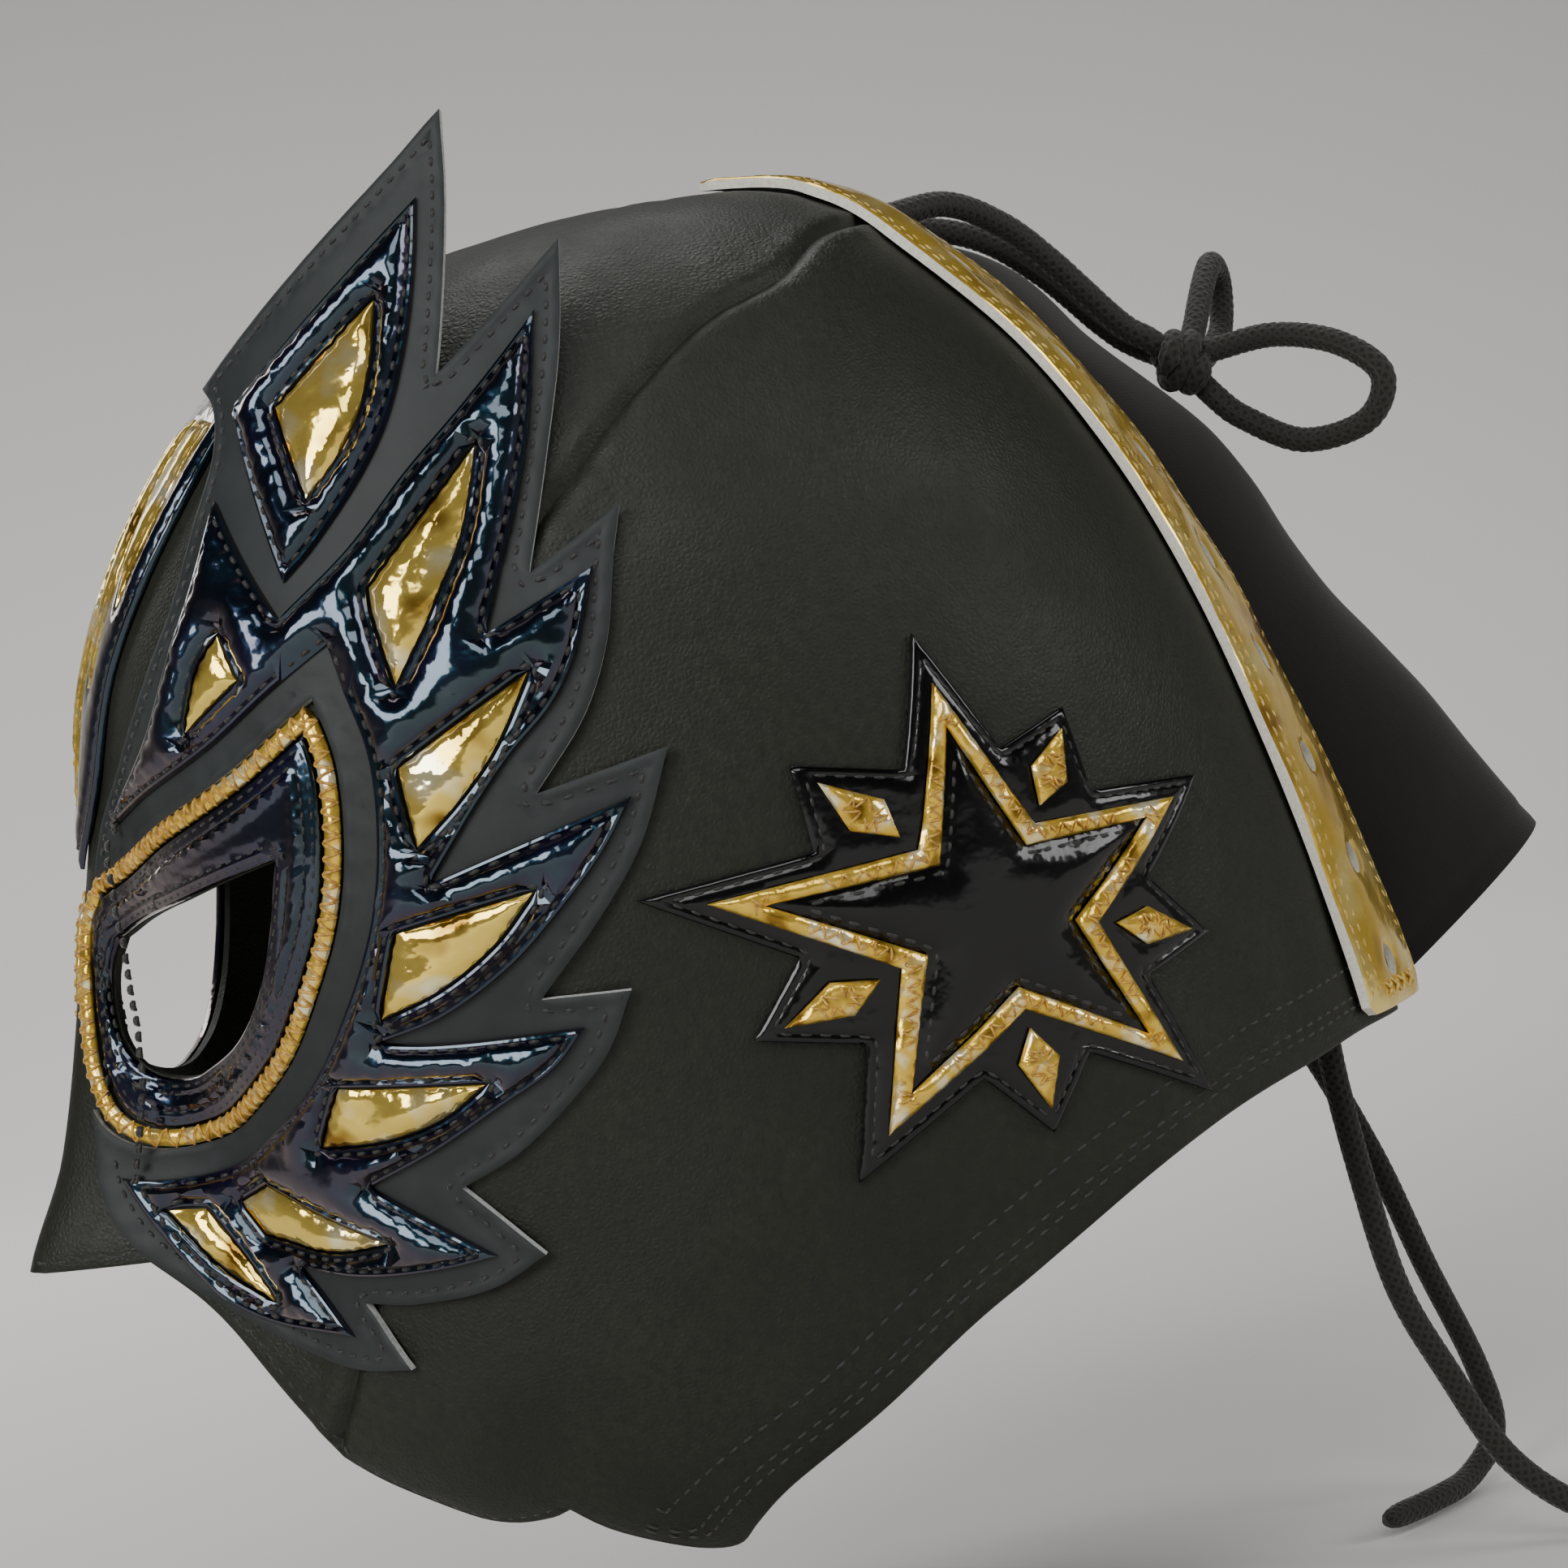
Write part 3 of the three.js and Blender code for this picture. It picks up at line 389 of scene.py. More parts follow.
def curved(loop: Array, corner: float = 38.0, step: float = 1.2,
           closed: bool = True) -> Array:
    """Draws an outline as smooth curves between its corners.

    Args:
        loop: Points, in order.
        corner: A turn of more than this many degrees stays a corner.
        step: The distance between the new points, in millimetres.
        closed: Whether the last point joins the first.

    Returns:
        The new points.
    """
    count = len(loop)
    before, after = np.roll(loop, 1, axis=0), np.roll(loop, -1, axis=0)
    a, b = loop - before, after - loop
    if not closed:
        a[0], b[-1] = b[0], a[-1]
    a = unit(a)
    b = unit(b)
    sharp = np.sum(a * b, axis=1) < math.cos(math.radians(corner))
    mean = a + b
    mean /= np.maximum(np.linalg.norm(mean, axis=1, keepdims=True), 1e-6)
    made = []
    for i in range(count if closed else count - 1):
        j = (i + 1) % count
        length = float(np.linalg.norm(loop[j] - loop[i]))
        start = b[i] if sharp[i] else mean[i]
        end = b[i] if sharp[j] else mean[j]
        t = np.arange(max(1, round(length / step))) / max(1, round(length / step))
        h = (2 * t**3 - 3 * t**2)[:, None]
        made.append((h + 1) * loop[i] + (t**3 - 2 * t**2 + t)[:, None] * length * start
                    - h * loop[j] + (t**3 - t**2)[:, None] * length * end)
    if not closed:
        made.append(loop[-1:])
    return np.concatenate(made)


def inside(points: Array, loop: Array) -> Array:
    """Says which points lie inside a closed outline."""
    held = np.zeros(len(points), bool)
    nxt = np.roll(loop, -1, axis=0)
    for (x1, y1), (x2, y2) in zip(loop, nxt):
        if y1 == y2:
            continue
        crosses = (y1 > points[:, 1]) != (y2 > points[:, 1])
        held ^= crosses & (points[:, 0] < (x2 - x1) * (points[:, 1] - y1) / (y2 - y1) + x1)
    return held


def nearest(points: Array, line: Array, closed: bool = True) -> tuple[Array, Array]:
    """Measures places against a line.

    Args:
        points: Flat places.
        line: The line's points.
        closed: Whether its last point joins its first.

    Returns:
        Each place's distance from the line, and how far along the line it is nearest.
    """
    start = line if closed else line[:-1]
    way = (np.roll(line, -1, axis=0) if closed else line[1:]) - start
    size = np.maximum(np.linalg.norm(way, axis=1), 1e-9)
    run = np.concatenate([[0], np.cumsum(size)])[:-1]
    distance, along = np.empty(len(points)), np.empty(len(points))
    for i in range(0, len(points), 3000):
        gap = points[i:i + 3000, None, :] - start[None]
        t = np.clip(np.sum(gap * way[None], axis=2) / size**2, 0, 1)
        off = np.linalg.norm(gap - t[..., None] * way[None], axis=2)
        best = off.argmin(axis=1)
        pick = np.arange(len(best))
        distance[i:i + 3000] = off[pick, best]
        along[i:i + 3000] = run[best] + t[pick, best] * size[best]
    return distance, along


def seam_rows(loop: Array, inset: float, others: Sequence[Array] = (),
              outward: bool = False, closed: bool = True) -> list[Array]:
    """Lines that keep a distance inside an outline, as a row of stitches does.

    Args:
        loop: The outline.
        inset: The distance, in millimetres.
        others: More edges that the row stays clear of.
        outward: Whether the row lies outside instead.
        closed: Whether the outline is closed.

    Returns:
        One list of points for each unbroken stretch.
    """
    turn = (1 if area_of(loop) > 0 else -1) * (-1 if outward else 1)
    way = np.roll(loop, -1, axis=0) - np.roll(loop, 1, axis=0)
    if not closed:
        way[0], way[-1] = loop[1] - loop[0], loop[-1] - loop[-2]
    way = unit(way)
    row = loop + turn * inset * np.stack([-way[:, 1], way[:, 0]], 1)
    clear = nearest(row, loop, closed)[0] > inset * 0.93
    for other in others:
        clear &= nearest(row, other)[0] > inset * 0.93
    if closed:
        clear &= inside(row, loop) != outward
    runs: list[Array] = []
    if clear.all() and closed:
        return [np.concatenate([row, row[:1]])]
    first = int(np.argmin(clear)) if closed else 0
    row, clear = np.roll(row, -first, axis=0), np.roll(clear, -first)
    here: list[Array] = []
    for point, good in zip(row, clear):
        if good:
            here.append(point)
        elif here:
            runs.append(np.array(here))
            here = []
    if here:
        runs.append(np.array(here))
    return [run for run in runs if len(run) > 2]


# Meshes.


@dataclass
class Patch:
    """A flat shape with windows, filled with even triangles.

    Args:
        outline: The outer edge.
        windows: The holes' edges.
        spacing: The usual distance between points, in millimetres.
        rings: Distances inside every edge at which rows of points follow it.
    """

    outline: Array
    windows: list[Array] = field(default_factory=list)
    spacing: float = 1.4
    rings: tuple[float, ...] = (0.3, 0.75, 1.3, 2.0)

    def covers(self, points: Array) -> Array:
        """Says which places lie in the shape."""
        held = inside(points, self.outline)
        for window in self.windows:
            held &= ~inside(points, window)
        return held

    def edge(self, points: Array) -> tuple[Array, Array]:
        """Each place's distance from the nearest edge, and how far along it that is."""
        best, along = nearest(points, self.outline)
        for i, window in enumerate(self.windows):
            off, run = nearest(points, window)
            closer = off < best
            best = np.where(closer, off, best)
            along = np.where(closer, run + 37.0 * (i + 1), along)
        return best, along

    def fill(self, extra: Optional[Array] = None) -> tuple[Array, Array]:
        """Fills the shape.

        Args:
            extra: More points to use, such as those of a seam.

        Returns:
            The flat points and the triangles between them.
        """
        low, high = self.outline.min(0), self.outline.max(0)
        step, rise = self.spacing, self.spacing * 0.866
        rows = []
        for i, y in enumerate(np.arange(low[1], high[1], rise)):
            x = np.arange(low[0] + (i % 2) * step / 2, high[0], step)
            rows.append(np.stack([x, np.full_like(x, y)], 1))
        grid = np.concatenate(rows)
        grid = grid[self.covers(grid)]
        last = max(self.rings) if self.rings else 0
        grid = grid[self.edge(grid)[0] > last + 0.4 * step]
        clouds = [grid]
        for inset in self.rings:
            for loop, outward in [(self.outline, False)] + [(w, True) for w in self.windows]:
                for run in seam_rows(loop, inset, outward=outward):
                    near = self.edge(run)[0] > inset * 0.9
                    clouds.append(run[near & self.covers(run)])
        if extra is not None:
            clouds.append(extra)
        return fill_loops([self.outline, *self.windows], np.concatenate(clouds), self.covers)


def fill_loops(loops: Sequence[Array], cloud: Array,
               covers: Callable[[Array], Array],
               lines: Sequence[Array] = ()) -> tuple[Array, Array]:
    """Triangulates a cloud of points between edges.

    Args:
        loops: Closed edges.
        cloud: Points inside.
        covers: Says which places are kept.
        lines: Open lines that triangles don't cross.

    Returns:
        The flat points and the triangles between them.
    """
    points: list[Array] = []
    edges: list[tuple[int, int]] = []
    start = 0
    for loop in loops:
        points.append(loop)
        edges += [(start + i, start + (i + 1) % len(loop)) for i in range(len(loop))]
        start += len(loop)
    for line in lines:
        points.append(line)
        edges += [(start + i, start + i + 1) for i in range(len(line) - 1)]
        start += len(line)
    every = np.concatenate([*points, cloud])
    made = delaunay_2d_cdt([Vector(p) for p in every], edges, [], 0, 1e-4)
    verts = np.array([(v.x, v.y) for v in made[0]])
    tris = np.array([t for t in made[2] if len(t) == 3], int)
    kept = covers(verts[tris].mean(axis=1))
    tris = tris[kept]
    used, index = np.unique(tris, return_inverse=True)
    return verts[used], index.reshape(-1, 3)


def rim_of(tris: Array) -> Array:
    """The directed edges that belong to one triangle only."""
    edges = np.concatenate([tris[:, [0, 1]], tris[:, [1, 2]], tris[:, [2, 0]]])
    seen = {(int(a), int(b)) for a, b in edges}
    return np.array([e for e in seen if (e[1], e[0]) not in seen], int)


def free_name(name: str) -> str:
    """A piece's name, marked where the solid that it replaces has the same one."""
    return f"{name}_visual" if name in bpy.data.objects else name


def new_object(name: str, verts: Array, faces: Sequence[Sequence[int]],
               finishes: Sequence[Material], kinds: Optional[Array] = None,
               sharp: float = 42.0, uv: Optional[Array] = None) -> Object:
    """Makes one mesh object.

    Args:
        name: Its name.
        verts: Its points, in millimetres.
        faces: Its faces.
        finishes: Its materials.
        kinds: Which material each face has.
        sharp: Edges that turn more than this many degrees are drawn sharp.
        uv: A pair of surface coordinates for each point, in millimetres.

    Returns:
        The object.
    """
    mesh = bpy.data.meshes.new(name)
    mesh.from_pydata((np.asarray(verts) * MM).tolist(), [], [list(map(int, f)) for f in faces])
    for finish in finishes:
        mesh.materials.append(finish)
    if kinds is not None:
        mesh.polygons.foreach_set("material_index", np.asarray(kinds, np.int32))
    mesh.polygons.foreach_set("use_smooth", np.ones(len(mesh.polygons), bool))
    mesh.update()
    mesh.validate()
    mesh.set_sharp_from_angle(angle=math.radians(sharp))
    if uv is not None:
        layer = mesh.uv_layers.new(name="along")
        loops = np.empty(len(mesh.loops), np.int32)
        mesh.loops.foreach_get("vertex_index", loops)
        layer.data.foreach_set("uv", (uv[loops] * MM).astype(np.float32).ravel())
    made = bpy.data.objects.new(free_name(name), mesh)
    bpy.context.scene.collection.objects.link(made)
    return made


def plate_object(name: str, points: Array, tris: Array, place: Place, top: Array,
                 bottom: Array | float, finishes: Sequence[Material]) -> Object:
    """Makes a closed plate from a filled flat shape.

    Args:
        name: Its name.
        points: The flat points.
        tris: The triangles.
        place: Bends flat places onto the form.
        top: How far each point's outer side lies outside the form.
        bottom: The same for the inner side.
        finishes: The material, or those of the outer side and the cut edge, or of
            the outer side, the inner side and the cut edge.

    Returns:
        The object.
    """
    count = len(points)
    outer, inner = place(points, top), place(points, bottom)
    a, b, c = (outer[tris[:, i]] for i in range(3))
    facing = np.cross(b - a, c - a)
    away = (a + b + c) / 3 - place(points[tris].mean(axis=1), -5.0)
    if np.sum(facing * away) < 0:
        tris = tris[:, ::-1]
    rim = rim_of(tris)
    walls = [(e[1], e[0], e[0] + count, e[1] + count) for e in rim]
    faces = tris.tolist() + (tris[:, ::-1] + count).tolist() + walls
    kinds = [0] * len(tris) + [len(finishes) // 3] * len(tris) + [len(finishes) - 1] * len(walls)
    return new_object(name, np.concatenate([outer, inner]), faces, finishes, np.array(kinds))


def swept(name: str, path: Array, radius: Array, finishes: Sequence[Material],
          sides: int = 16, up: Optional[Array] = None, closed: bool = False,
          squash: float = 1.0) -> Object:
    """Sweeps a round or oval section along a path.

    Args:
        name: The object's name.
        path: Its points, in millimetres.
        radius: The radius at each point, or at each point and side.
        finishes: The material.
        sides: How many sides the section has.
        up: The direction of the section's height at each point.
        closed: Whether the path joins itself.
        squash: The section's height as a share of its width.

    Returns:
        The object.
    """
    count = len(path)
    along = np.roll(path, -1, axis=0) - np.roll(path, 1, axis=0)
    if not closed:
        along[0], along[-1] = path[1] - path[0], path[-1] - path[-2]
    along = unit(along)
    if up is None:
        up = carried_up(along)
    wide = np.cross(along, up)
    wide = unit(wide)
    high = np.cross(wide, along)
    turn = np.arange(sides) * math.tau / sides
    size = radius if radius.ndim == 2 else np.repeat(radius[:, None], sides, 1)
    verts = (path[:, None] + size[..., None] * (np.cos(turn)[None, :, None] * wide[:, None]
             + squash * np.sin(turn)[None, :, None] * high[:, None])).reshape(-1, 3)
    run = lengths_along(path)
    uv = np.stack([np.repeat(run, sides), np.tile(turn * float(np.mean(size)), count)], 1)
    faces: list[Sequence[int]] = []
    for i in range(count if closed else count - 1):
        j = (i + 1) % count
        faces += [(i * sides + k, i * sides + (k + 1) % sides, j * sides + (k + 1) % sides, j * sides + k)
                  for k in range(sides)]
    if not closed:
        faces += [list(range(sides))[::-1], [(count - 1) * sides + k for k in range(sides)]]
    return new_object(name, verts, faces, finishes, sharp=60, uv=uv)


def carried_up(along: Array) -> Array:
    """Carries one sideways direction along a path without twisting it."""
    up = np.empty_like(along)
    first = np.array([0.0, 0.0, 1.0]) if abs(along[0][2]) < 0.9 else np.array([0.0, 1.0, 0.0])
    for i, way in enumerate(along):
        first = first - way * float(first @ way)
        first = first / np.linalg.norm(first)
        up[i] = first
    return up


def curve_through(points: Sequence[Sequence[float]], step: float, closed: bool = False) -> Array:
    """A smooth path through points, resampled to an even step.

    Args:
        points: The points to pass through.
        step: The distance between the new points, in millimetres.
        closed: Whether the path joins itself.

    Returns:
        The new points.
    """
    ctrl = np.array(points, float)
    if closed:
        ext = np.concatenate([ctrl[-1:], ctrl, ctrl[:2]])
    else:
        ext = np.concatenate([2 * ctrl[:1] - ctrl[1:2], ctrl, 2 * ctrl[-1:] - ctrl[-2:-1]])
    t = np.linspace(0, 1, 24, endpoint=False)[:, None]
    parts = []
    for a, b, c, d in zip(ext[:-3], ext[1:-2], ext[2:-1], ext[3:]):
        parts.append(0.5 * (2 * b + (c - a) * t + (2 * a - 5 * b + 4 * c - d) * t**2
                            + (3 * b - a - 3 * c + d) * t**3))
    dense = np.concatenate([*parts, ext[-2:-1]])
    run = lengths_along(dense)
    count = max(3, round(run[-1] / step)) + 1
    at = np.linspace(0, run[-1], count)
    even = np.stack([np.interp(at, run, dense[:, i]) for i in range(dense.shape[1])], 1)
    return even[:-1] if closed else even


@dataclass
class Stitching:
    """Rows of sewing thread, each stitch a small bead that dips into the cloth.

    Args:
        pitch: The length of a stitch with its gap, in millimetres.
        gap: The gap between two stitches.
        thick: The thread's diameter.
    """

    pitch: float = 2.5
    gap: float = 0.45
    thick: float = 0.5
    lifts: list[Array] = field(default_factory=list)
    paths: list[Array] = field(default_factory=list)

    def row(self, line: Array, place: Place, lift: Lift) -> None:
        """Sews along a flat line.

        Args:
            line: The line's points.
            place: Bends flat places onto the form.
            lift: How far the sewn surface lies outside the form at flat places.
        """
        run = lengths_along(line)
        count = int(run[-1] / self.pitch)
        if count < 1:
            return
        starts = (np.arange(count) + 0.5) * run[-1] / count - (self.pitch - self.gap) / 2
        at = starts[:, None] + np.linspace(0, 1, 5)[None] * (self.pitch - self.gap)
        spots = np.stack([np.interp(at, run, line[:, i]) for i in range(2)], -1).reshape(-1, 2)
        rise = np.tile(np.array([-0.45, -0.05, 0.05, -0.05, -0.45]) * self.thick, count)
        over = lift(spots) + rise
        self.paths.append(place(spots, over).reshape(count, 5, 3))
        self.lifts.append(place(spots, over + 1).reshape(count, 5, 3))

    def cross(self, starts: Array, ends: Array, place: Place, lift: Lift) -> None:
        """Sews single stitches between pairs of flat places."""
        t = np.linspace(0, 1, 5)[None, :, None]
        spots = (starts[:, None] * (1 - t) + ends[:, None] * t).reshape(-1, 2)
        rise = np.tile(np.array([-0.3, 0.2, 0.3, 0.2, -0.3]) * self.thick * 2, len(starts))
        over = lift(spots) + rise
        self.paths.append(place(spots, over).reshape(-1, 5, 3))
        self.lifts.append(place(spots, over + 1).reshape(-1, 5, 3))

    def build(self, name: str, thread: Material, sides: int = 6) -> Object:
        """Makes the thread's mesh.

        Args:
            name: The object's name.
            thread: Its material.
            sides: How many sides the thread has.

        Returns:
            The object.
        """
        paths, above = np.concatenate(self.paths), np.concatenate(self.lifts)
        along = np.gradient(paths, axis=1)
        along = unit(along)
        up = above - paths
        wide = np.cross(along, up)
        wide = unit(wide)
        high = np.cross(wide, along)
        size = np.array([0.45, 0.95, 1.0, 0.95, 0.45]) * self.thick / 2
        turn = np.arange(sides) * math.tau / sides
        verts = (paths[:, :, None] + size[None, :, None, None] * (
            np.cos(turn)[None, None, :, None] * wide[:, :, None]
            + np.sin(turn)[None, None, :, None] * high[:, :, None]))
        one: list[list[int]] = []
        for i in range(4):
            one += [[i * sides + k, i * sides + (k + 1) % sides, (i + 1) * sides + (k + 1) % sides,
                     (i + 1) * sides + k] for k in range(sides)]
        caps = [list(range(sides))[::-1], [4 * sides + k for k in range(sides)]]
        faces: list[list[int]] = []
        for s in range(len(paths)):
            base = s * 5 * sides
            faces += [[base + v for v in f] for f in one + caps]
        return new_object(name, verts.reshape(-1, 3), faces, [thread], sharp=70)


def mirrored(source: Object, name: str) -> Object:
    """Copies a piece to the other side of the mask.

    Args:
        source: The piece on the wearer's left.
        name: The copy's name.

    Returns:
        The copy.
    """
    mesh = source.data.copy()
    mesh.name = name
    mesh.transform(Matrix.Scale(-1, 4, (1, 0, 0)))
    mesh.flip_normals()
    made = bpy.data.objects.new(free_name(name), mesh)
    bpy.context.scene.collection.objects.link(made)
    return made


def dress(piece: Object, slot: str, *nodes: str) -> Object:
    """Fixes a piece to the mask.

    Args:
        piece: The piece, in place.
        slot: Not used.
        nodes: The solids that it stands for.

    Returns:
        The piece.
    """
    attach(piece, "root")
    if nodes:
        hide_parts(*nodes)
    LOG.info("%s: %d faces", piece.name, len(piece.data.polygons))
    return piece


def both(piece: Object, slot: str, stem: str, *nodes: str) -> list[Object]:
    """Fixes a piece of the wearer's left side and its mirror image.

    Args:
        piece: The piece on the left.
        slot: Not used, only passed on to dress.
        stem: The pieces' name without its side.
        nodes: The solids' names without their sides.

    Returns:
        The two pieces.
    """
    other = mirrored(piece, f"{stem}_{Side.RIGHT.value}")
    dress(piece, slot, *[f"{n}_{Side.LEFT.value}" for n in nodes])
    dress(other, slot, *[f"{n}_{Side.RIGHT.value}" for n in nodes])
    return [piece, other]


# Finishes.


def node(tree: NodeTree, kind: str, inputs: Optional[dict] = None, **settings) -> Node:
    """Adds a node, with its settings and links.

    Args:
        tree: The material's node tree.
        kind: The node's type.
        inputs: Sockets to link, or values to set, by name or number.
        settings: The node's own settings.

    Returns:
        The node.
    """
    made = tree.nodes.new(kind)
    for name, value in settings.items():
        setattr(made, name, value)
    for key, value in (inputs or {}).items():
        if isinstance(value, NodeSocket):
            tree.links.new(value, made.inputs[key])
        else:
            made.inputs[key].default_value = value
    return made


def link(shader: Node, socket: str, value: NodeSocket) -> None:
    """Links a value to one of a shader's sockets."""
    shader.id_data.links.new(value, shader.inputs[socket])


def ramp(tree: NodeTree, value: NodeSocket,
         stops: Sequence[tuple[float, str]]) -> NodeSocket:
    """Turns a value into colours.

    Args:
        tree: The material's node tree.
        value: The value.
        stops: Places from 0 to 1 with their sRGB hex colours.

    Returns:
        The colour.
    """
    made = node(tree, "ShaderNodeValToRGB", {0: value})
    band = made.color_ramp
    while len(band.elements) < len(stops):
        band.elements.new(0.5)
    for element, (place, code) in zip(band.elements, stops):
        element.position = place
        element.color = hex_linear(code)
    return made.outputs[0]


@dataclass(frozen=True)
class Finish:
    """What every surface has: a name for its material and how it was made."""

    name: str
    base: str
    roughness: float
    metallic: float = 0.0
    ior: float = 1.5

    def start(self) -> tuple[Material, NodeTree, Node, NodeSocket]:
        """Makes the material with its shader and its surface coordinates.

        Returns:
            The material, its tree, its shader and the object's coordinates in metres.
        """
        made = bpy.data.materials.new(self.name)
        made.use_nodes = True
        tree = made.node_tree
        shader = tree.nodes["Principled BSDF"]
        shader.inputs["Base Color"].default_value = hex_linear(self.base)
        shader.inputs["Roughness"].default_value = self.roughness
        shader.inputs["Metallic"].default_value = self.metallic
        shader.inputs["IOR"].default_value = self.ior
        made.diffuse_color = hex_linear(self.base)
        return made, tree, shader, node(tree, "ShaderNodeTexCoord").outputs["Object"]

    def material(self) -> Material:
        """Makes the material."""
        raise NotImplementedError


def noise(tree: NodeTree, where: NodeSocket, millimetres: float,
          detail: float = 3.0, rough: float = 0.55) -> NodeSocket:
    """A cloudy pattern with features of about the given size."""
    return node(tree, "ShaderNodeTexNoise", {"Vector": where, "Scale": 1000 / millimetres,
                                            "Detail": detail, "Roughness": rough}).outputs[0]


def bumped(tree: NodeTree, height: NodeSocket, depth: float, strength: float,
           under: Optional[NodeSocket] = None) -> NodeSocket:
    """Shades a height as relief, its depth in millimetres."""
    inputs = {"Height": height, "Distance": depth * MM, "Strength": strength}
    if under is not None:
        inputs["Normal"] = under
    return node(tree, "ShaderNodeBump", inputs).outputs[0]


def bands(tree: NodeTree, where: NodeSocket, millimetres: float, way: str,
          wobble: float) -> NodeSocket:
    """Even ridges, the given distance apart, as threads lie in cloth."""
    return node(tree, "ShaderNodeTexWave", {"Vector": where, "Scale": 100 * math.pi / millimetres,
                                            "Distortion": wobble}, bands_direction=way).outputs[1]


@dataclass(frozen=True)
class EmbossedLeatherette(Finish):
    """PVC coated cloth, embossed with a pebble grain.

    The grain breaks the light into a broad dull sheen, and handling polishes it in patches.
    """

    worn: str = "#23261c"
    grain: float = 0.95

    def material(self) -> Material:
        """Makes the material."""
        made, tree, shader, where = self.start()
        cells = node(tree, "ShaderNodeTexVoronoi", {"Vector": where, "Scale": 1000 / self.grain},
                     feature="DISTANCE_TO_EDGE").outputs[0]
        cloud = noise(tree, where, 26, 4)
        fine = noise(tree, where, 1.6, 2)
        tone = node(tree, "ShaderNodeMath", {0: cloud, 1: fine}, operation="MULTIPLY").outputs[0]
        colour = ramp(tree, tone, [(0.1, self.base), (0.5, self.worn)])
        link(shader, "Base Color", colour)
        gloss = node(tree, "ShaderNodeMapRange", {0: cloud, 1: 0.3, 2: 0.7, 3: self.roughness + 0.1,
                                                  4: self.roughness - 0.08}).outputs[0]
        link(shader, "Roughness", gloss)
        round_cells = node(tree, "ShaderNodeMapRange",
                           {0: cells, 1: 0.0, 2: 0.35, 3: 0.0, 4: 1.0}).outputs[0]
        soft = bumped(tree, noise(tree, where, 9, 3), 0.8, 0.25)
        link(shader, "Normal", bumped(tree, round_cells, 0.1, 0.55, soft))
        return made


@dataclass(frozen=True)
class CalenderedVinyl(Finish):
    """Matt vinyl sheet, rolled smooth with a faint leather print.

    It looks even and soft, a little greyer where it was bent or rubbed.
    """

    rubbed: str = "#2b2f2f"

    def material(self) -> Material:
        """Makes the material."""
        made, tree, shader, where = self.start()
        cloud = noise(tree, where, 18, 5, 0.6)
        tone = ramp(tree, cloud, [(0.35, self.base), (0.7, self.rubbed)])
        link(shader, "Base Color", tone)
        print_ = noise(tree, where, 0.8, 2)
        soft = bumped(tree, noise(tree, where, 6, 2), 0.5, 0.2)
        link(shader, "Normal", bumped(tree, print_, 0.1, 0.3, soft))
        return made


@dataclass(frozen=True)
class CutEdge(Finish):
    """The raw cut edge of backed sheet, with the backing's fibres showing."""

    fibre: str = "#6d706f"

    def material(self) -> Material:
        """Makes the material."""
        made, tree, shader, where = self.start()
        hairs = noise(tree, where, 0.7, 4, 0.7)
        link(shader, "Base Color", ramp(tree, hairs, [(0.3, self.fibre), (0.65, self.base)]))
        link(shader, "Normal", bumped(tree, hairs, 0.2, 0.6))
        return made


@dataclass(frozen=True)
class PatentVinyl(Finish):
    """Vinyl with a clear lacquer coat, padded with thin foam.

    The lacquer gives sharp highlights over soft ones, and thin layers in it tint them
    with teal and violet. The teal and violet clouds in the base colour are painted
    reflection tints, standing in for these oil-slick highlights.
    """

    # The teal and violet colours are painted reflection tints of the oil-slick lacquer.
    teal: str = "#06161c"
    violet: str = "#0d0a1e"
    film: float = 345.0
    coat_ior: float = 1.55

    def material(self) -> Material:
        """Makes the material."""
        made, tree, shader, where = self.start()
        cloud = noise(tree, where, 21, 3, 0.5)
        # Painted reflection tints: a noise clouds the base colour with teal and violet for the lacquer's
        # oil-slick highlights.
        tree.links.new(ramp(tree, cloud, [(0.3, self.violet), (0.46, self.base), (0.58, self.base),
                                          (0.75, self.teal)]), shader.inputs["Base Color"])
        shader.inputs["Coat Weight"].default_value = 1.0
        shader.inputs["Coat Roughness"].default_value = 0.07
        shader.inputs["Coat IOR"].default_value = self.coat_ior
        shader.inputs["Thin Film Thickness"].default_value = self.film
        shader.inputs["Thin Film IOR"].default_value = 1.38
        peel = bumped(tree, noise(tree, where, 2.4, 2), 0.25, 0.18)
        creases = bumped(tree, noise(tree, where, 7.5, 3, 0.6), 1.1, 0.35, peel)
        link(shader, "Normal", creases)
        link(shader, "Coat Normal", bumped(tree, noise(tree, where, 7.5, 3, 0.6), 0.8, 0.3))
        return made


@dataclass(frozen=True)
class HotFoil(Finish):
    """Gold foil pressed hot onto vinyl.

    It mirrors its surroundings, broken by fine creases. Brown and cream patches that a noise
    lays in its colour are painted dark reflections and painted highlights.
    """

    # The two colours below are painted reflections: brown for dark ones, cream for highlights.
    dark_reflection: str = "#8e6a1e"
    pale: str = "#fcf2c8"
    crease: float = 3.2
    strength: float = 0.45

    def material(self) -> Material:
        """Makes the material."""
        made, tree, shader, where = self.start()
        cloud = noise(tree, where, self.crease * 3, 2, 0.45)
        # Painted reflections: the noise runs the colour from a brown painted dark reflection through the
        # base gold to a cream painted highlight.
        tree.links.new(ramp(tree, cloud, [(0.29, self.dark_reflection), (0.44, self.base), (0.53, self.base),
                                          (0.68, self.pale)]), shader.inputs["Base Color"])
        gloss = node(tree, "ShaderNodeMapRange", {
            0: noise(tree, where, 4, 3), 1: 0.35, 2: 0.75, 3: self.roughness - 0.04,
            4: self.roughness + 0.08}).outputs[0]
        link(shader, "Roughness", gloss)
        waves = bumped(tree, noise(tree, where, self.crease * 4, 1, 0.4), 3.0, self.strength * 2)
        folds = bumped(tree, noise(tree, where, self.crease, 2, 0.5), 0.5, self.strength, waves)
        link(shader, "Normal", folds)
        return made


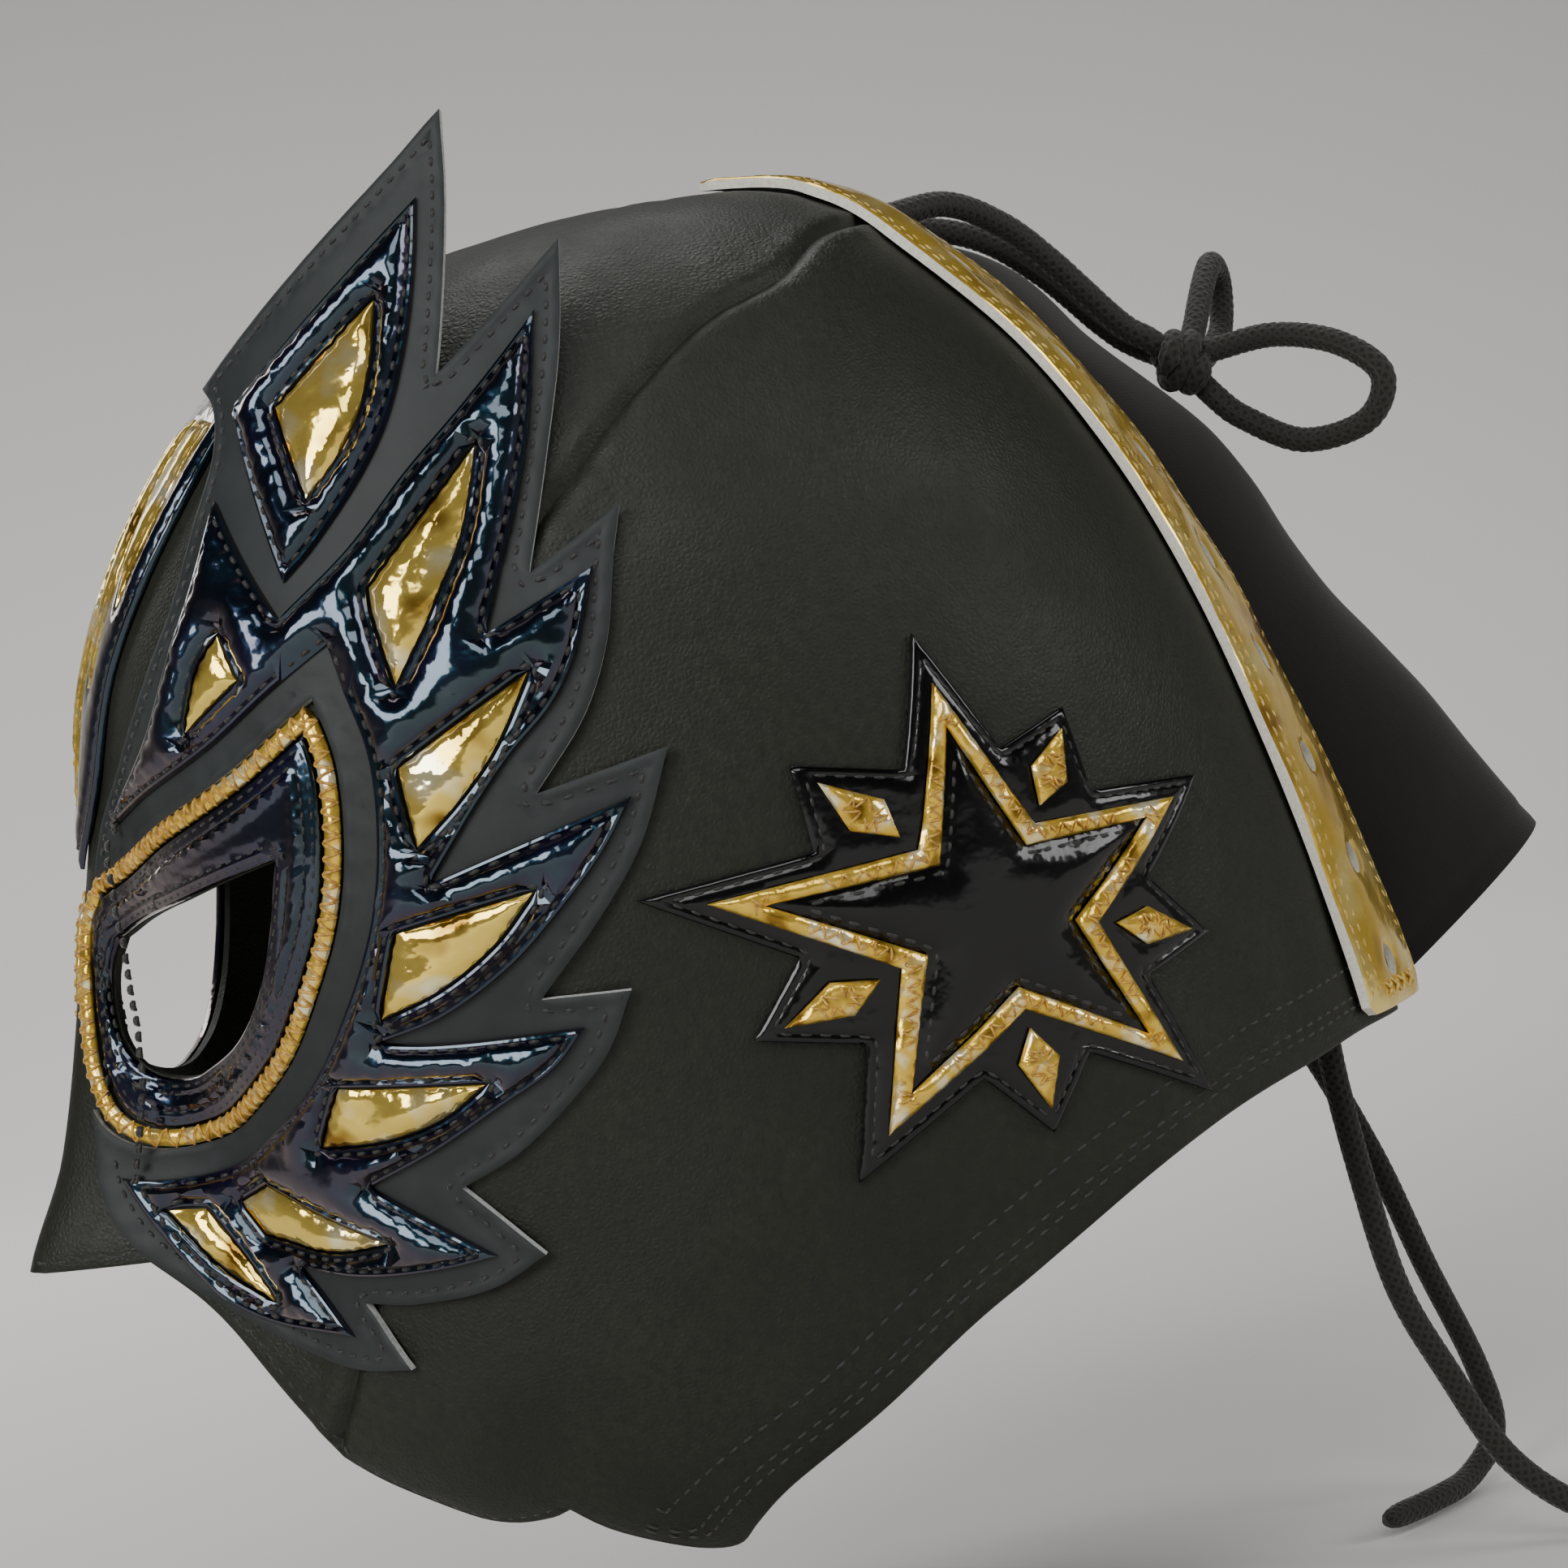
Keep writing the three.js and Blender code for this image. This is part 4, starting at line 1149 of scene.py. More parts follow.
@dataclass(frozen=True)
class TwistedThread(Finish):
    """Bonded polyester thread, twisted from three strands.

    The twist is drawn at 0.5 mm, coarser than the real one, so that it can show.
    """

    light: str = "#ffffff"

    def material(self) -> Material:
        """Makes the material."""
        made, tree, shader, where = self.start()
        tone = noise(tree, where, 0.8, 2)
        link(shader, "Base Color", ramp(tree, tone, [(0.35, self.base), (0.7, self.light)]))
        strands = bands(tree, where, 0.5, "DIAGONAL", 1.5)
        link(shader, "Normal", bumped(tree, strands, 0.08, 0.5))
        shader.inputs["Sheen Weight"].default_value = 0.2
        return made


@dataclass(frozen=True)
class WovenCloth(Finish):
    """Plain woven polyester cloth, matt, with a soft nap on its threads.

    Its threads are 0.35 mm apart and are drawn at 0.6 mm, so that they can show.
    """

    light: str = "#14110e"
    thread: float = 0.6

    def material(self) -> Material:
        """Makes the material."""
        made, tree, shader, where = self.start()
        threads = [bands(tree, where, self.thread, way, 0.6) for way in "YZ"]
        weave = node(tree, "ShaderNodeMath", {0: threads[0], 1: threads[1]},
                     operation="MULTIPLY").outputs[0]
        cloud = noise(tree, where, 14, 4)
        mixed = node(tree, "ShaderNodeMath", {0: cloud, 1: weave, 2: 0.0},
                     operation="MULTIPLY_ADD").outputs[0]
        tone = ramp(tree, mixed, [(0.05, self.base), (0.5, self.light)])
        link(shader, "Base Color", tone)
        link(shader, "Normal", bumped(tree, weave, 0.06, 0.4, bumped(tree, cloud, 1.0, 0.2)))
        shader.inputs["Sheen Weight"].default_value = 0.15
        shader.inputs["Sheen Roughness"].default_value = 0.5
        return made


@dataclass(frozen=True)
class BraidedCotton(Finish):
    """Waxed cotton lace, braided round from sixteen ends.

    The crests of the plaits are painted lighter, a painted highlight of small diamonds in a
    dull black.
    """

    # The crest colour below is a painted highlight on the plaits.
    light: str = "#25231e"
    plait: float = 1.35

    def material(self) -> Material:
        """Makes the material."""
        made, tree, shader, _ = self.start()
        where = node(tree, "ShaderNodeUVMap", uv_map="along").outputs[0]
        ends = []
        for turn in (0.72, -0.72):
            spun = node(tree, "ShaderNodeMapping", {"Vector": where, "Rotation": (0, 0, turn)}).outputs[0]
            ends.append(bands(tree, spun, self.plait, "X", 0.2))
        cell = node(tree, "ShaderNodeMath", {0: ends[0], 1: ends[1]}, operation="MAXIMUM").outputs[0]
        # Painted highlight: the crests of the plaits get the lighter colour.
        link(shader, "Base Color", ramp(tree, cell, [(0.2, self.base), (0.95, self.light)]))
        link(shader, "Normal", bumped(tree, cell, 0.25, 0.8))
        shader.inputs["Sheen Weight"].default_value = 0.15
        return made


@dataclass(frozen=True)
class StudioPaper(Finish):
    """Matt pale background paper, which only gathers soft shadows."""

    def material(self) -> Material:
        """Makes the material."""
        made, tree, shader, where = self.start()
        link(shader, "Normal", bumped(tree, noise(tree, where, 1.5, 2), 0.05, 0.1))
        return made


@dataclass
class Wardrobe:
    """Every finish of the mask, each made once."""

    leather: Finish = EmbossedLeatherette("leatherette_embossed", "#15160f", 0.52, ior=1.38)
    vinyl: Finish = CalenderedVinyl("vinyl_calendered", "#1f2323", 0.58, ior=1.4)
    raw_edge: Finish = CutEdge("vinyl_cut_edge", "#c0c2bf", 0.85, fibre="#8b8e8c")
    # The patents' teal and violet colours are painted reflection tints.
    patent: Finish = PatentVinyl("vinyl_patent_lacquered", "#04070d", 0.2)
    star_patent: Finish = PatentVinyl("vinyl_patent_black", "#030304", 0.2, teal="#050708",
                                       violet="#060508", film=0.0, coat_ior=1.32, ior=1.3)
    # The gold foils' brown and cream colours are painted reflections.
    foil: Finish = HotFoil("foil_gold_pressed", "#f0d066", 0.09, metallic=0.8)
    piping: Finish = HotFoil("foil_gold_rolled", "#ecc44e", 0.2, metallic=0.7, crease=1.6, strength=0.35)
    strip: Finish = HotFoil("foil_gold_on_foam", "#e6bf4c", 0.14, metallic=0.7, crease=4.5,
                            strength=0.4, dark_reflection="#a87f28", pale="#f4dc88")
    foam: Finish = CutEdge("foam_white_cut", "#ece8dc", 0.9, fibre="#cfcabb")
    black_thread: Finish = TwistedThread("thread_polyester_black", "#0b0b0b", 0.55, light="#23231f")
    gold_thread: Finish = TwistedThread("thread_polyester_gold", "#8f6215", 0.45, light="#d8ab45")
    yellow_thread: Finish = TwistedThread("thread_polyester_yellow", "#b58f2e", 0.5, light="#ecd27a")
    cloth: Finish = WovenCloth("cloth_polyester_woven", "#0c0a08", 0.9, ior=1.3)
    braid: Finish = BraidedCotton("lace_cotton_braided", "#0b0b0a", 0.75, ior=1.35)
    paper: Finish = StudioPaper("paper_background", "#d3d1cd", 0.9)
    made: dict[str, Material] = field(default_factory=dict)

    def __getitem__(self, key: str) -> Material:
        """The material of a finish, made at its first use."""
        if key not in self.made:
            self.made[key] = getattr(self, key).material()
        return self.made[key]


# The hood.


@dataclass
class Hood:
    """The laced hood: a face panel and two side panels of leatherette, sewn together."""

    wardrobe: Wardrobe
    wall: float = 1.9
    spacing: float = 2.4
    slot_overhang: float = 7.0
    slot_top: float = 0.6
    hem_row: float = 1.5
    neck_row: float = 4.2
    facing_row: float = 10.5
    per_degree: float = 1.4
    drops: Array = field(init=False)
    runs: Array = field(init=False)

    def __post_init__(self) -> None:
        """Tabulates how far each drop lies from the crown, down the side of the head."""
        self.drops = np.linspace(0, 124, 1241)
        side = HEAD.point(np.full_like(self.drops, 90.0), self.drops)
        self.runs = lengths_along(side)

    def chart(self, places: Sequence[Sequence[float]]) -> Array:
        """Lays angles and drops out as millimetres of leatherette."""
        at = np.array(places, float)
        return np.stack([at[:, 0] * self.per_degree, -np.interp(at[:, 1], self.drops, self.runs)], 1)

    def bend(self, spots: Array, lift: Array | float) -> Array:
        """Bends laid out leatherette onto the head."""
        drop = np.interp(-spots[:, 1], self.runs, self.drops)
        return HEAD.lifted(spots[:, 0] / self.per_degree, drop, lift)

    def seam(self) -> Array:
        """Finds the seam's line, given from the side, on the head.

        Returns:
            Angles and drops along the seam.
        """
        line = curve_through(SEAM, 1.5)
        found = []
        for y, down in line:
            angles = np.linspace(0, 180, 721)
            ys = HEAD.point(angles, np.full_like(angles, down / 2))[:, 1]
            if ys[-1] > y > ys[0]:
                found.append([float(np.interp(y, np.maximum.accumulate(ys), angles)), down / 2])
        return np.array(found)

    def panels(self) -> list[Object]:
        """Makes the three panels, with the puckers of their seam and hems.

        Returns:
            The panels.
        """
        hem = curved(flat(HEM), closed=False, step=1.6) / (ARC, -TALL)
        hem = hem[hem[:, 0] <= 150.5]
        slot = np.stack([np.interp(np.linspace(78.6, self.slot_top, 70), LACING[:, 0], LACING[:, 2])
                         - self.slot_overhang, np.linspace(78.6, self.slot_top, 70)], 1)
        middle = np.stack([np.zeros(60), np.linspace(0.4, hem[0, 1], 61)[:-1]], 1)
        top = np.array([[151, 0.6], [160, 0.6], [170, 0.6], [180, 0.6], [180, 0.3]])
        crown = np.stack([np.linspace(180, 0, 13), np.full(13, 0.02)], 1)
        edge = self.chart(np.concatenate([middle, hem, slot[:-1], top, crown]))
        eye = self.chart(curved(flat(EYE_OPENING), step=1.5) / (ARC, -TALL))
        seam = self.seam()
        seam_line = self.chart(seam)
        keep = inside(seam_line, edge) & (nearest(seam_line, edge)[0] > 0.6)
        seam_line = seam_line[keep]
        rows = []
        for i, y in enumerate(np.arange(edge[:, 1].min(), -2.0, self.spacing * 0.87)):
            drop = float(np.interp(-y, self.runs, self.drops))
            girth = float(np.interp(drop, [0, 1, 4, 10, 19, 30], [8, 21, 42, 57, 67, 75]))
            step = self.spacing * min(75 / girth, 9)
            x = np.arange((i % 2) * step / 2, 252, step)
            rows.append(np.stack([x, np.full_like(x, y)], 1))
        cloud = np.concatenate(rows)

        def covers(points: Array) -> Array:
            """Says which places are leatherette."""
            return inside(points, edge) & ~inside(points, eye)

        cloud = cloud[covers(cloud)]
        near = np.minimum(nearest(cloud, edge)[0], nearest(cloud, eye)[0])
        cloud = cloud[(near > 2.2) & (nearest(cloud, seam_line, False)[0] > 2.6)]
        extra = [cloud]
        for inset in (0.5, 1.3, 2.2):
            for loop, outward in ((edge, False), (eye, True)):
                extra += [run[covers(run)] for run in seam_rows(loop, inset, outward=outward)]
            for side in (-1, 1):
                way = np.gradient(seam_line, axis=0)
                way = unit(way)
                row = seam_line + side * inset * np.stack([-way[:, 1], way[:, 0]], 1)
                extra.append(row[covers(row) & (nearest(row, edge)[0] > 1)])
        every = np.concatenate(extra)
        every = every[nearest(every, edge)[0] > 0.3]
        points, tris = fill_loops([edge, eye], every, covers, [seam_line])
        lift = self.relief(points, edge, eye, seam_line)
        centre = points[tris].mean(axis=1)
        drop = np.interp(-centre[:, 1], self.runs, self.drops)
        y_of = HEAD.point(centre[:, 0] / self.per_degree, drop)[:, 1]
        order = np.argsort(seam[:, 1])
        seam_y = np.interp(drop, seam[order, 1], HEAD.point(seam[order, 0], seam[order, 1])[:, 1])
        side_panel = (y_of > seam_y) & (drop > seam[:, 1].min())
        self.rows(edge, eye, seam_line, hem)
        pieces = []
        for stem, part in (("hood_side", side_panel), ("hood_face_panel", ~side_panel)):
            used, index = np.unique(tris[part], return_inverse=True)
            made = plate_object(f"{stem}_left_half" if "face" in stem else f"{stem}_left", points[used],
                                index.reshape(-1, 3), self.bend, lift[used], -self.wall,
                                [self.wardrobe["leather"]])
            pieces.append(made)
        side, face = pieces
        other = mirrored(side, "hood_side_right")
        whole = self.joined(face, "hood_face_panel")
        dress(side, "hood_leather", "hood_side_left")
        dress(other, "hood_leather", "hood_side_right")
        dress(whole, "hood_leather", "hood_face_left", "hood_face_right")
        return [side, other, whole]

    def joined(self, half: Object, name: str) -> Object:
        """Joins a half to its mirror image, as one piece of leatherette.

        Args:
            half: The wearer's left half.
            name: The whole piece's name.

        Returns:
            The whole piece.
        """
        mesh = half.data
        verts = np.empty(len(mesh.vertices) * 3)
        mesh.vertices.foreach_get("co", verts)
        verts = verts.reshape(-1, 3)
        flip = verts * (-1, 1, 1)
        faces = [list(p.vertices) for p in mesh.polygons]
        middle = [all(abs(verts[v][0]) < 2e-5 for v in f) for f in faces]
        faces = [f for f, m in zip(faces, middle) if not m]
        count = len(verts)
        every = np.concatenate([verts, flip])
        both_sides = faces + [[v + count for v in f][::-1] for f in faces]
        keys = np.round(every / 2e-5).astype(np.int64)
        _, first, index = np.unique(keys, axis=0, return_index=True, return_inverse=True)
        index = index.reshape(-1)
        merged = [[int(index[v]) for v in f] for f in both_sides]
        merged = [f for f in merged if len(set(f)) == len(f)]
        bpy.data.objects.remove(half)
        return new_object(name, every[first] / MM, merged, [self.wardrobe["leather"]])

    def relief(self, points: Array, edge: Array, eye: Array,
               seam_line: Array) -> Array:
        """How far the leatherette stands off the head form.

        Args:
            points: Laid out places.
            edge: The outer edge.
            eye: The eye's edge.
            seam_line: The seam.

        Returns:
            Distances outwards, in millimetres.
        """
        off, _ = nearest(points, edge)
        off = np.minimum(off, nearest(points, eye)[0])
        middle = (points[:, 0] < 3) | (-points[:, 1] < 6)
        off = np.where(middle, 30.0, off)
        to_seam, along = nearest(points, seam_line, False)
        lift = -0.55 * np.exp(-off / 0.5)
        lift -= 0.3 * hump(off, self.hem_row, 0.5)
        lift -= 0.95 * np.exp(-((to_seam / 0.9) ** 2))
        lift += 0.35 * hump(to_seam, 2.8, 1.6)
        lift += 0.16 * np.sin(along * math.tau / 7.5) * hump(to_seam, 2.6, 2.2)
        low = np.clip((-points[:, 1] - 150) / 60, 0, 1)
        lift += ripple(points, 13, seed=4) * (0.12 + 0.25 * low)
        return lift

    def rows(self, edge: Array, eye: Array, seam_line: Array, hem: Array) -> None:
        """Sews the hems and facings.

        Args:
            edge: The outer edge.
            eye: The eye's edge.
            seam_line: The seam.
            hem: Angles and drops along the hem.
        """
        sewn = Stitching(pitch=2.6, gap=0.8, thick=0.5)

        def surface(spots: Array) -> Array:
            """The leatherette's height at laid out places."""
            return self.relief(spots, edge, eye, seam_line)

        line = self.chart(hem)
        for inset, low, high in ((self.hem_row, 0, 44), (self.neck_row, 46, 150),
                                 (self.neck_row + 1.6, 46, 150), (self.facing_row, 46, 150)):
            part = line[(hem[:, 0] > low) & (hem[:, 0] < high)]
            for outward in (False, True):
                for run in seam_rows(part, inset, outward=outward, closed=False):
                    if inside(run[len(run) // 2][None], edge)[0]:
                        sewn.row(run[inside(run, edge)], self.bend, surface)
        if sewn.paths:
            both(sewn.build("hood_hem_thread_left", self.wardrobe["black_thread"]), "hood_leather",
                 "hood_hem_thread")


# The flames round the eyes.


@dataclass
class Flames:
    """Appliques round the eyes: cut vinyl, padded patent over it and gold windows."""

    wardrobe: Wardrobe
    clearance: float = 0.3
    backing: float = 1.5
    margin: float = 5.0
    piping: float = 2.8
    piping_flatness: float = 0.72
    zigzag: float = 2.4
    thread_row: float = 2.0
    patent_row: float = 1.1

    def build(self) -> list[Object]:
        """Makes every piece of the flames, on both sides."""
        self.eye = curved(flat(EYE_PIPING))
        self.windows = [curved(flat(o), corner=30) for o in GOLD_INLAYS]
        return self.base() + self.padding() + self.inlays() + self.eye_piping() + self.ring()

    def backing_lift(self, shape: Patch, spots: Array) -> Array:
        """The backing's height: it dips at its stitches and lifts a little at its tips."""
        off, along = shape.edge(spots)
        lift = self.clearance + self.backing - 0.25 * np.exp(-off / 0.3)
        lift -= 0.3 * hump(off, self.thread_row, 0.45)
        lift += 0.12 * np.sin(along * math.tau / 5.5) * hump(off, 1.2, 0.9)
        return lift + self.curl(spots)

    def curl(self, spots: Array) -> Array:
        """How much the free tips of the horns lift off the head."""
        lift = np.zeros(len(spots))
        for angle, drop, high in ((60, -5.8, 1.2), (71.5, 6, 1.0), (73.8, 26.8, 0.9), (72.6, 45, 0.9),
                                  (64.8, 62, 0.7), (51.8, 80.6, 0.7), (36.4, 88, 0.6)):
            tip = np.array([angle * ARC, -drop * TALL])
            lift += high * np.exp(-(np.linalg.norm(spots - tip, axis=1) / 7.5) ** 2)
        return lift

    def seat(self, spots: Array) -> Array:
        """How far the inner side of what lies on the backing stands off the head."""
        return self.clearance * 2 + self.backing + 0.8 * self.curl(spots)

    def base(self) -> list[Object]:
        """The cut vinyl backing with its row of stitches."""
        shape = Patch(curved(flat(FLAME_BACKING)), [grown(self.eye, self.clearance)], 1.7)
        points, tris = shape.fill()
        made = plate_object("flame_backing_left", points, tris, HEAD.on_plate,
                            self.backing_lift(shape, points),
                            self.clearance + 0.8 * self.curl(points),
                            [self.wardrobe["vinyl"], self.wardrobe["raw_edge"]])
        sewn = Stitching(pitch=2.5, gap=0.95, thick=0.8)
        for run in seam_rows(shape.outline, self.thread_row, shape.windows):
            sewn.row(run, HEAD.on_plate, lambda s: self.backing_lift(shape, s))
        thread = sewn.build("flame_backing_thread_left", self.wardrobe["black_thread"])
        return (both(made, "flame_vinyl", "flame_backing", "flame_backing")
                + both(thread, "flame_vinyl", "flame_backing_thread"))

    def patent_lift(self, shape: Patch, spots: Array) -> Array:
        """The padded patent's height: sewn down at its edges, puffed and puckered between."""
        off, along = shape.edge(spots)
        lift = self.clearance * 2 + self.backing + 0.25 + 0.85 * (1 - np.exp(-off / 0.22))
        lift -= 0.5 * hump(off, self.patent_row, 0.38)
        lift += 1.75 * (1 - np.exp(-np.maximum(off - self.patent_row, 0) / 1.5))
        pucker = np.sin(along * math.tau / 3.1) + 0.6 * np.sin(along * math.tau / 5.3 + 1)
        lift += 0.2 * pucker * hump(off, 2.1, 0.95)
        lift += 0.22 * ripple(spots, 4.5, seed=11) * np.clip((off - 1.6) / 2, 0, 1)
        return np.minimum(lift, 5.2) + 0.8 * self.curl(spots)

    def padding(self) -> list[Object]:
        """The padded patent panels with the stitches at their edges."""
        made: list[Object] = []
        windows = [grown(w, self.clearance) for w in self.windows]
        sheets = (
            ("horn_patent", Patch(curved(flat(HORN_PATENT), corner=30), [windows[1]], 0.95,
                                  (0.25, 0.6, 1.1, 1.6, 2.2))),
            ("flame_patent", Patch(curved(flat(FLAME_PATENT)), [grown(self.eye, self.margin)]
                                   + [w for i, w in enumerate(windows) if i != 1], 0.95,
                                   (0.25, 0.6, 1.1, 1.6, 2.2))),
        )
        sewn = Stitching(pitch=2.55, gap=0.95, thick=0.9)
        for stem, shape in sheets:
            points, tris = shape.fill()
            piece = plate_object(f"{stem}_left", points, tris, HEAD.on_plate,
                                 self.patent_lift(shape, points), self.seat(points),
                                 [self.wardrobe["patent"]])
            for copy in both(piece, "patent", stem, stem):
                made.append(copy)
            for loop, outward in [(shape.outline, False)] + [(w, True) for w in shape.windows]:
                for run in seam_rows(loop, self.patent_row, outward=outward):
                    run = run[shape.covers(run)]
                    if len(run) > 4:
                        sewn.row(run, HEAD.on_plate, lambda s, k=shape: self.patent_lift(k, s))
        thread = sewn.build("flame_patent_thread_left", self.wardrobe["black_thread"])
        return made + both(thread, "patent", "flame_patent_thread")

    def inlay_lift(self, shape: Patch, spots: Array) -> Array:
        """The foil's height: it bulges between its edges and wrinkles a little."""
        off, along = shape.edge(spots)
        lift = self.clearance * 2 + self.backing + 0.5 + 1.3 * (1 - np.exp(-off / 1.2))
        lift += 0.2 * np.sin(along * math.tau / 2.7) * np.exp(-off / 1.1)
        return lift + 0.14 * ripple(spots, 3.2, seed=21) + 0.8 * self.curl(spots)

    def inlays(self) -> list[Object]:
        """The gold windows."""
        made: list[Object] = []
        for i, window in enumerate(self.windows):
            shape = Patch(window, [], 0.9, (0.3, 0.8))
            points, tris = shape.fill()
            stem = f"gold_inlay_{i + 1}"
            piece = plate_object(f"{stem}_left", points, tris, HEAD.on_plate,
                                 self.inlay_lift(shape, points), self.seat(points),
                                 [self.wardrobe["foil"]])
            made += both(piece, "gold_foil", stem, stem)
        return made

    def eye_piping(self) -> list[Object]:
        """The gold cord round each eye, crossed by zigzag stitches."""
        line = grown(self.eye, -self.piping / 2)
        line = curve_through(line[::2], 0.6, closed=True)
        flatness = self.piping_flatness
        middle = self.clearance + self.piping / 2 * flatness
        path = HEAD.on_head(line, middle)
        above = HEAD.on_head(line, middle + 1) - path
        run = np.arange(len(line)) * 0.6
        size = self.piping / 2 * (0.98 + 0.03 * np.cos(run * math.tau / self.zigzag))
        cord = swept("eye_piping_left", path, size, [self.wardrobe["piping"]], 20, above, True, flatness)
        turns = round(run[-1] / self.zigzag)
        t = np.linspace(0, 1, turns * 10, endpoint=False)
        wave = np.abs(((t * turns) % 1) * 2 - 1) * 2 - 1
        swing = np.radians(74) * wave
        at = t * len(line)
        i = np.floor(at).astype(int) % len(line)
        share = (at % 1)[:, None]
        j = (i + 1) % len(line)
        spot = path[i] * (1 - share) + path[j] * share
        high = above[i] * (1 - share) + above[j] * share
        way = path[j] - path[i]
        wide = np.cross(unit(way), high)
        reach = self.piping / 2 * 1.03
        around = spot + reach * (flatness * np.cos(swing)[:, None] * high + np.sin(swing)[:, None] * wide)
        thread = swept("eye_piping_thread_left", around, np.full(len(around), 0.27),
                       [self.wardrobe["gold_thread"]], 6, None, True)
        return (both(cord, "gold_piping", "eye_piping", "eye_piping")
                + both(thread, "gold_piping", "eye_piping_thread"))

    def ring_lift(self, outer: Array, inner: Array, spots: Array) -> Array:
        """The eye ring's height: a padded ridge between its double rows of stitches."""
        out, along = nearest(spots, outer)
        into, _ = nearest(spots, inner)
        lift = self.clearance + 1.0 + 0.8 * (1 - np.exp(-np.minimum(out, into) / 0.4))
        for row, depth in ((1.0, 0.35), (2.3, 0.35)):
            lift -= depth * hump(out, row, 0.35)
            lift -= depth * hump(into, row, 0.35)
        lift += 0.5 * hump(out, 3.4, 0.8) * (into > 1.5)
        return lift + 0.1 * np.sin(along * math.tau / 3.0) * hump(out, 3.2, 1.2)

    def ring(self) -> list[Object]:
        """The padded ring between the piping and the opening of each eye."""
        outer = grown(self.eye, -self.piping - self.clearance)
        inner = curved(flat(EYE_OPENING))
        shape = Patch(outer, [inner], 1.0, (0.3, 0.7, 1.2, 1.7, 2.4))
        points, tris = shape.fill()
        piece = plate_object("eye_ring_left", points, tris, HEAD.on_head,
                             self.ring_lift(outer, inner, points), self.clearance,
                             [self.wardrobe["patent"]])
        sewn = Stitching(pitch=2.2, gap=0.7, thick=0.6)
        for loop, outward in ((outer, False), (inner, True)):
            for inset in (1.0, 2.3):
                for run in seam_rows(loop, inset, outward=outward):
                    run = run[shape.covers(run) & (shape.edge(run)[0] > 0.8)]
                    if len(run) > 4:
                        sewn.row(run, HEAD.on_head, lambda s: self.ring_lift(outer, inner, s))
        thread = sewn.build("eye_ring_thread_left", self.wardrobe["black_thread"])
        made = both(piece, "patent", "eye_ring", "eye_ring")
        return made + both(thread, "patent", "eye_ring_thread")


# The gold ornaments.


@dataclass
class Crest:
    """The ornament on the forehead: a padded patent shield with a gold lancet and bars."""

    wardrobe: Wardrobe
    clearance: float = 0.3
    shield: float = 1.6
    gold: float = 1.4

    def whole(self, half: Sequence[Sequence[float]]) -> Array:
        """A symmetric outline from its left half, which starts and ends on the middle."""
        other = [[-a, d] for a, d in half[-2:0:-1]]
        return curved(flat([*half, *other]))

    def shield_lift(self, shape: Patch, golds: Sequence[Array], spots: Array) -> Array:
        """The shield's height: low under the gold, puffed between it."""
        off, along = shape.edge(spots)
        lift = self.clearance + 0.7 + 0.6 * (1 - np.exp(-off / 0.3))
        lift -= 0.35 * hump(off, 1.3, 0.4)
        clear = np.full(len(spots), 9.0)
        for loop in golds:
            away = nearest(spots, loop)[0]
            clear = np.minimum(clear, np.where(inside(spots, loop), 0, away))
        lift += 0.75 * (1 - np.exp(-np.maximum(np.minimum(clear, off - 1.3), 0) / 1.2))
        return lift + 0.1 * np.sin(along * math.tau / 3.2) * hump(off, 2.2, 0.9)

    def bar_lift(self, shape: Patch, spots: Array) -> Array:
        """A gold bar's height: a low crown between its sewn edges."""
        off, along = shape.edge(spots)
        lift = self.clearance + self.shield + 0.35 + 0.95 * (1 - np.exp(-off / 0.9))
        lift -= 0.22 * hump(off, 0.9, 0.3)
        return lift + 0.08 * np.sin(along * math.tau / 2.2) * np.exp(-off / 0.9)

    def build(self) -> list[Object]:
        """Makes the shield, the lancet and the bars with their stitches."""
        lancet = self.whole(CREST_LANCET)
        bars = [curved(flat(o), corner=30) for o in CREST_BARS]
        golds = [lancet, *bars, *[b * (-1, 1) for b in bars]]
        shape = Patch(self.whole(CREST_BASE), [], 1.2, (0.3, 0.8, 1.3, 1.9))
        points, tris = shape.fill()
        shield = plate_object("crest_base", points, tris, HEAD.on_head,
                              self.shield_lift(shape, golds, points), self.clearance,
                              [self.wardrobe["patent"]])
        dress(shield, "patent", "crest_base")
        dark, bright = Stitching(pitch=2.4, gap=0.8, thick=0.75), Stitching(pitch=2.2, gap=0.35, thick=0.42)
        for run in seam_rows(shape.outline, 1.3):
            dark.row(run, HEAD.on_head, lambda s: self.shield_lift(shape, golds, s))
        made = [shield, dress(dark.build("crest_shield_thread", self.wardrobe["black_thread"]), "patent")]
        named = [("crest_lancet", lancet), ("crest_bar_1", bars[0]), ("crest_bar_2", bars[1])]
        for stem, loop in named:
            bar = Patch(loop, [], 0.9, (0.3, 0.9))
            points, tris = bar.fill()
            single = stem == "crest_lancet"
            piece = plate_object(stem if single else f"{stem}_left", points, tris, HEAD.on_head,
                                 self.bar_lift(bar, points), self.clearance + self.shield,
                                 [self.wardrobe["foil"]])
            for run in seam_rows(loop, 0.9):
                bright.row(run, HEAD.on_head, lambda s, k=bar: self.bar_lift(k, s))
                if not single:
                    bright.row(run * (-1, 1), HEAD.on_head,
                               lambda s, k=bar: self.bar_lift(k, s * (-1, 1)))
            made += ([dress(piece, "gold_piping", stem)] if single
                     else both(piece, "gold_piping", stem, stem))
        made.append(dress(bright.build("crest_gold_thread", self.wardrobe["gold_thread"]), "gold_piping"))
        return made


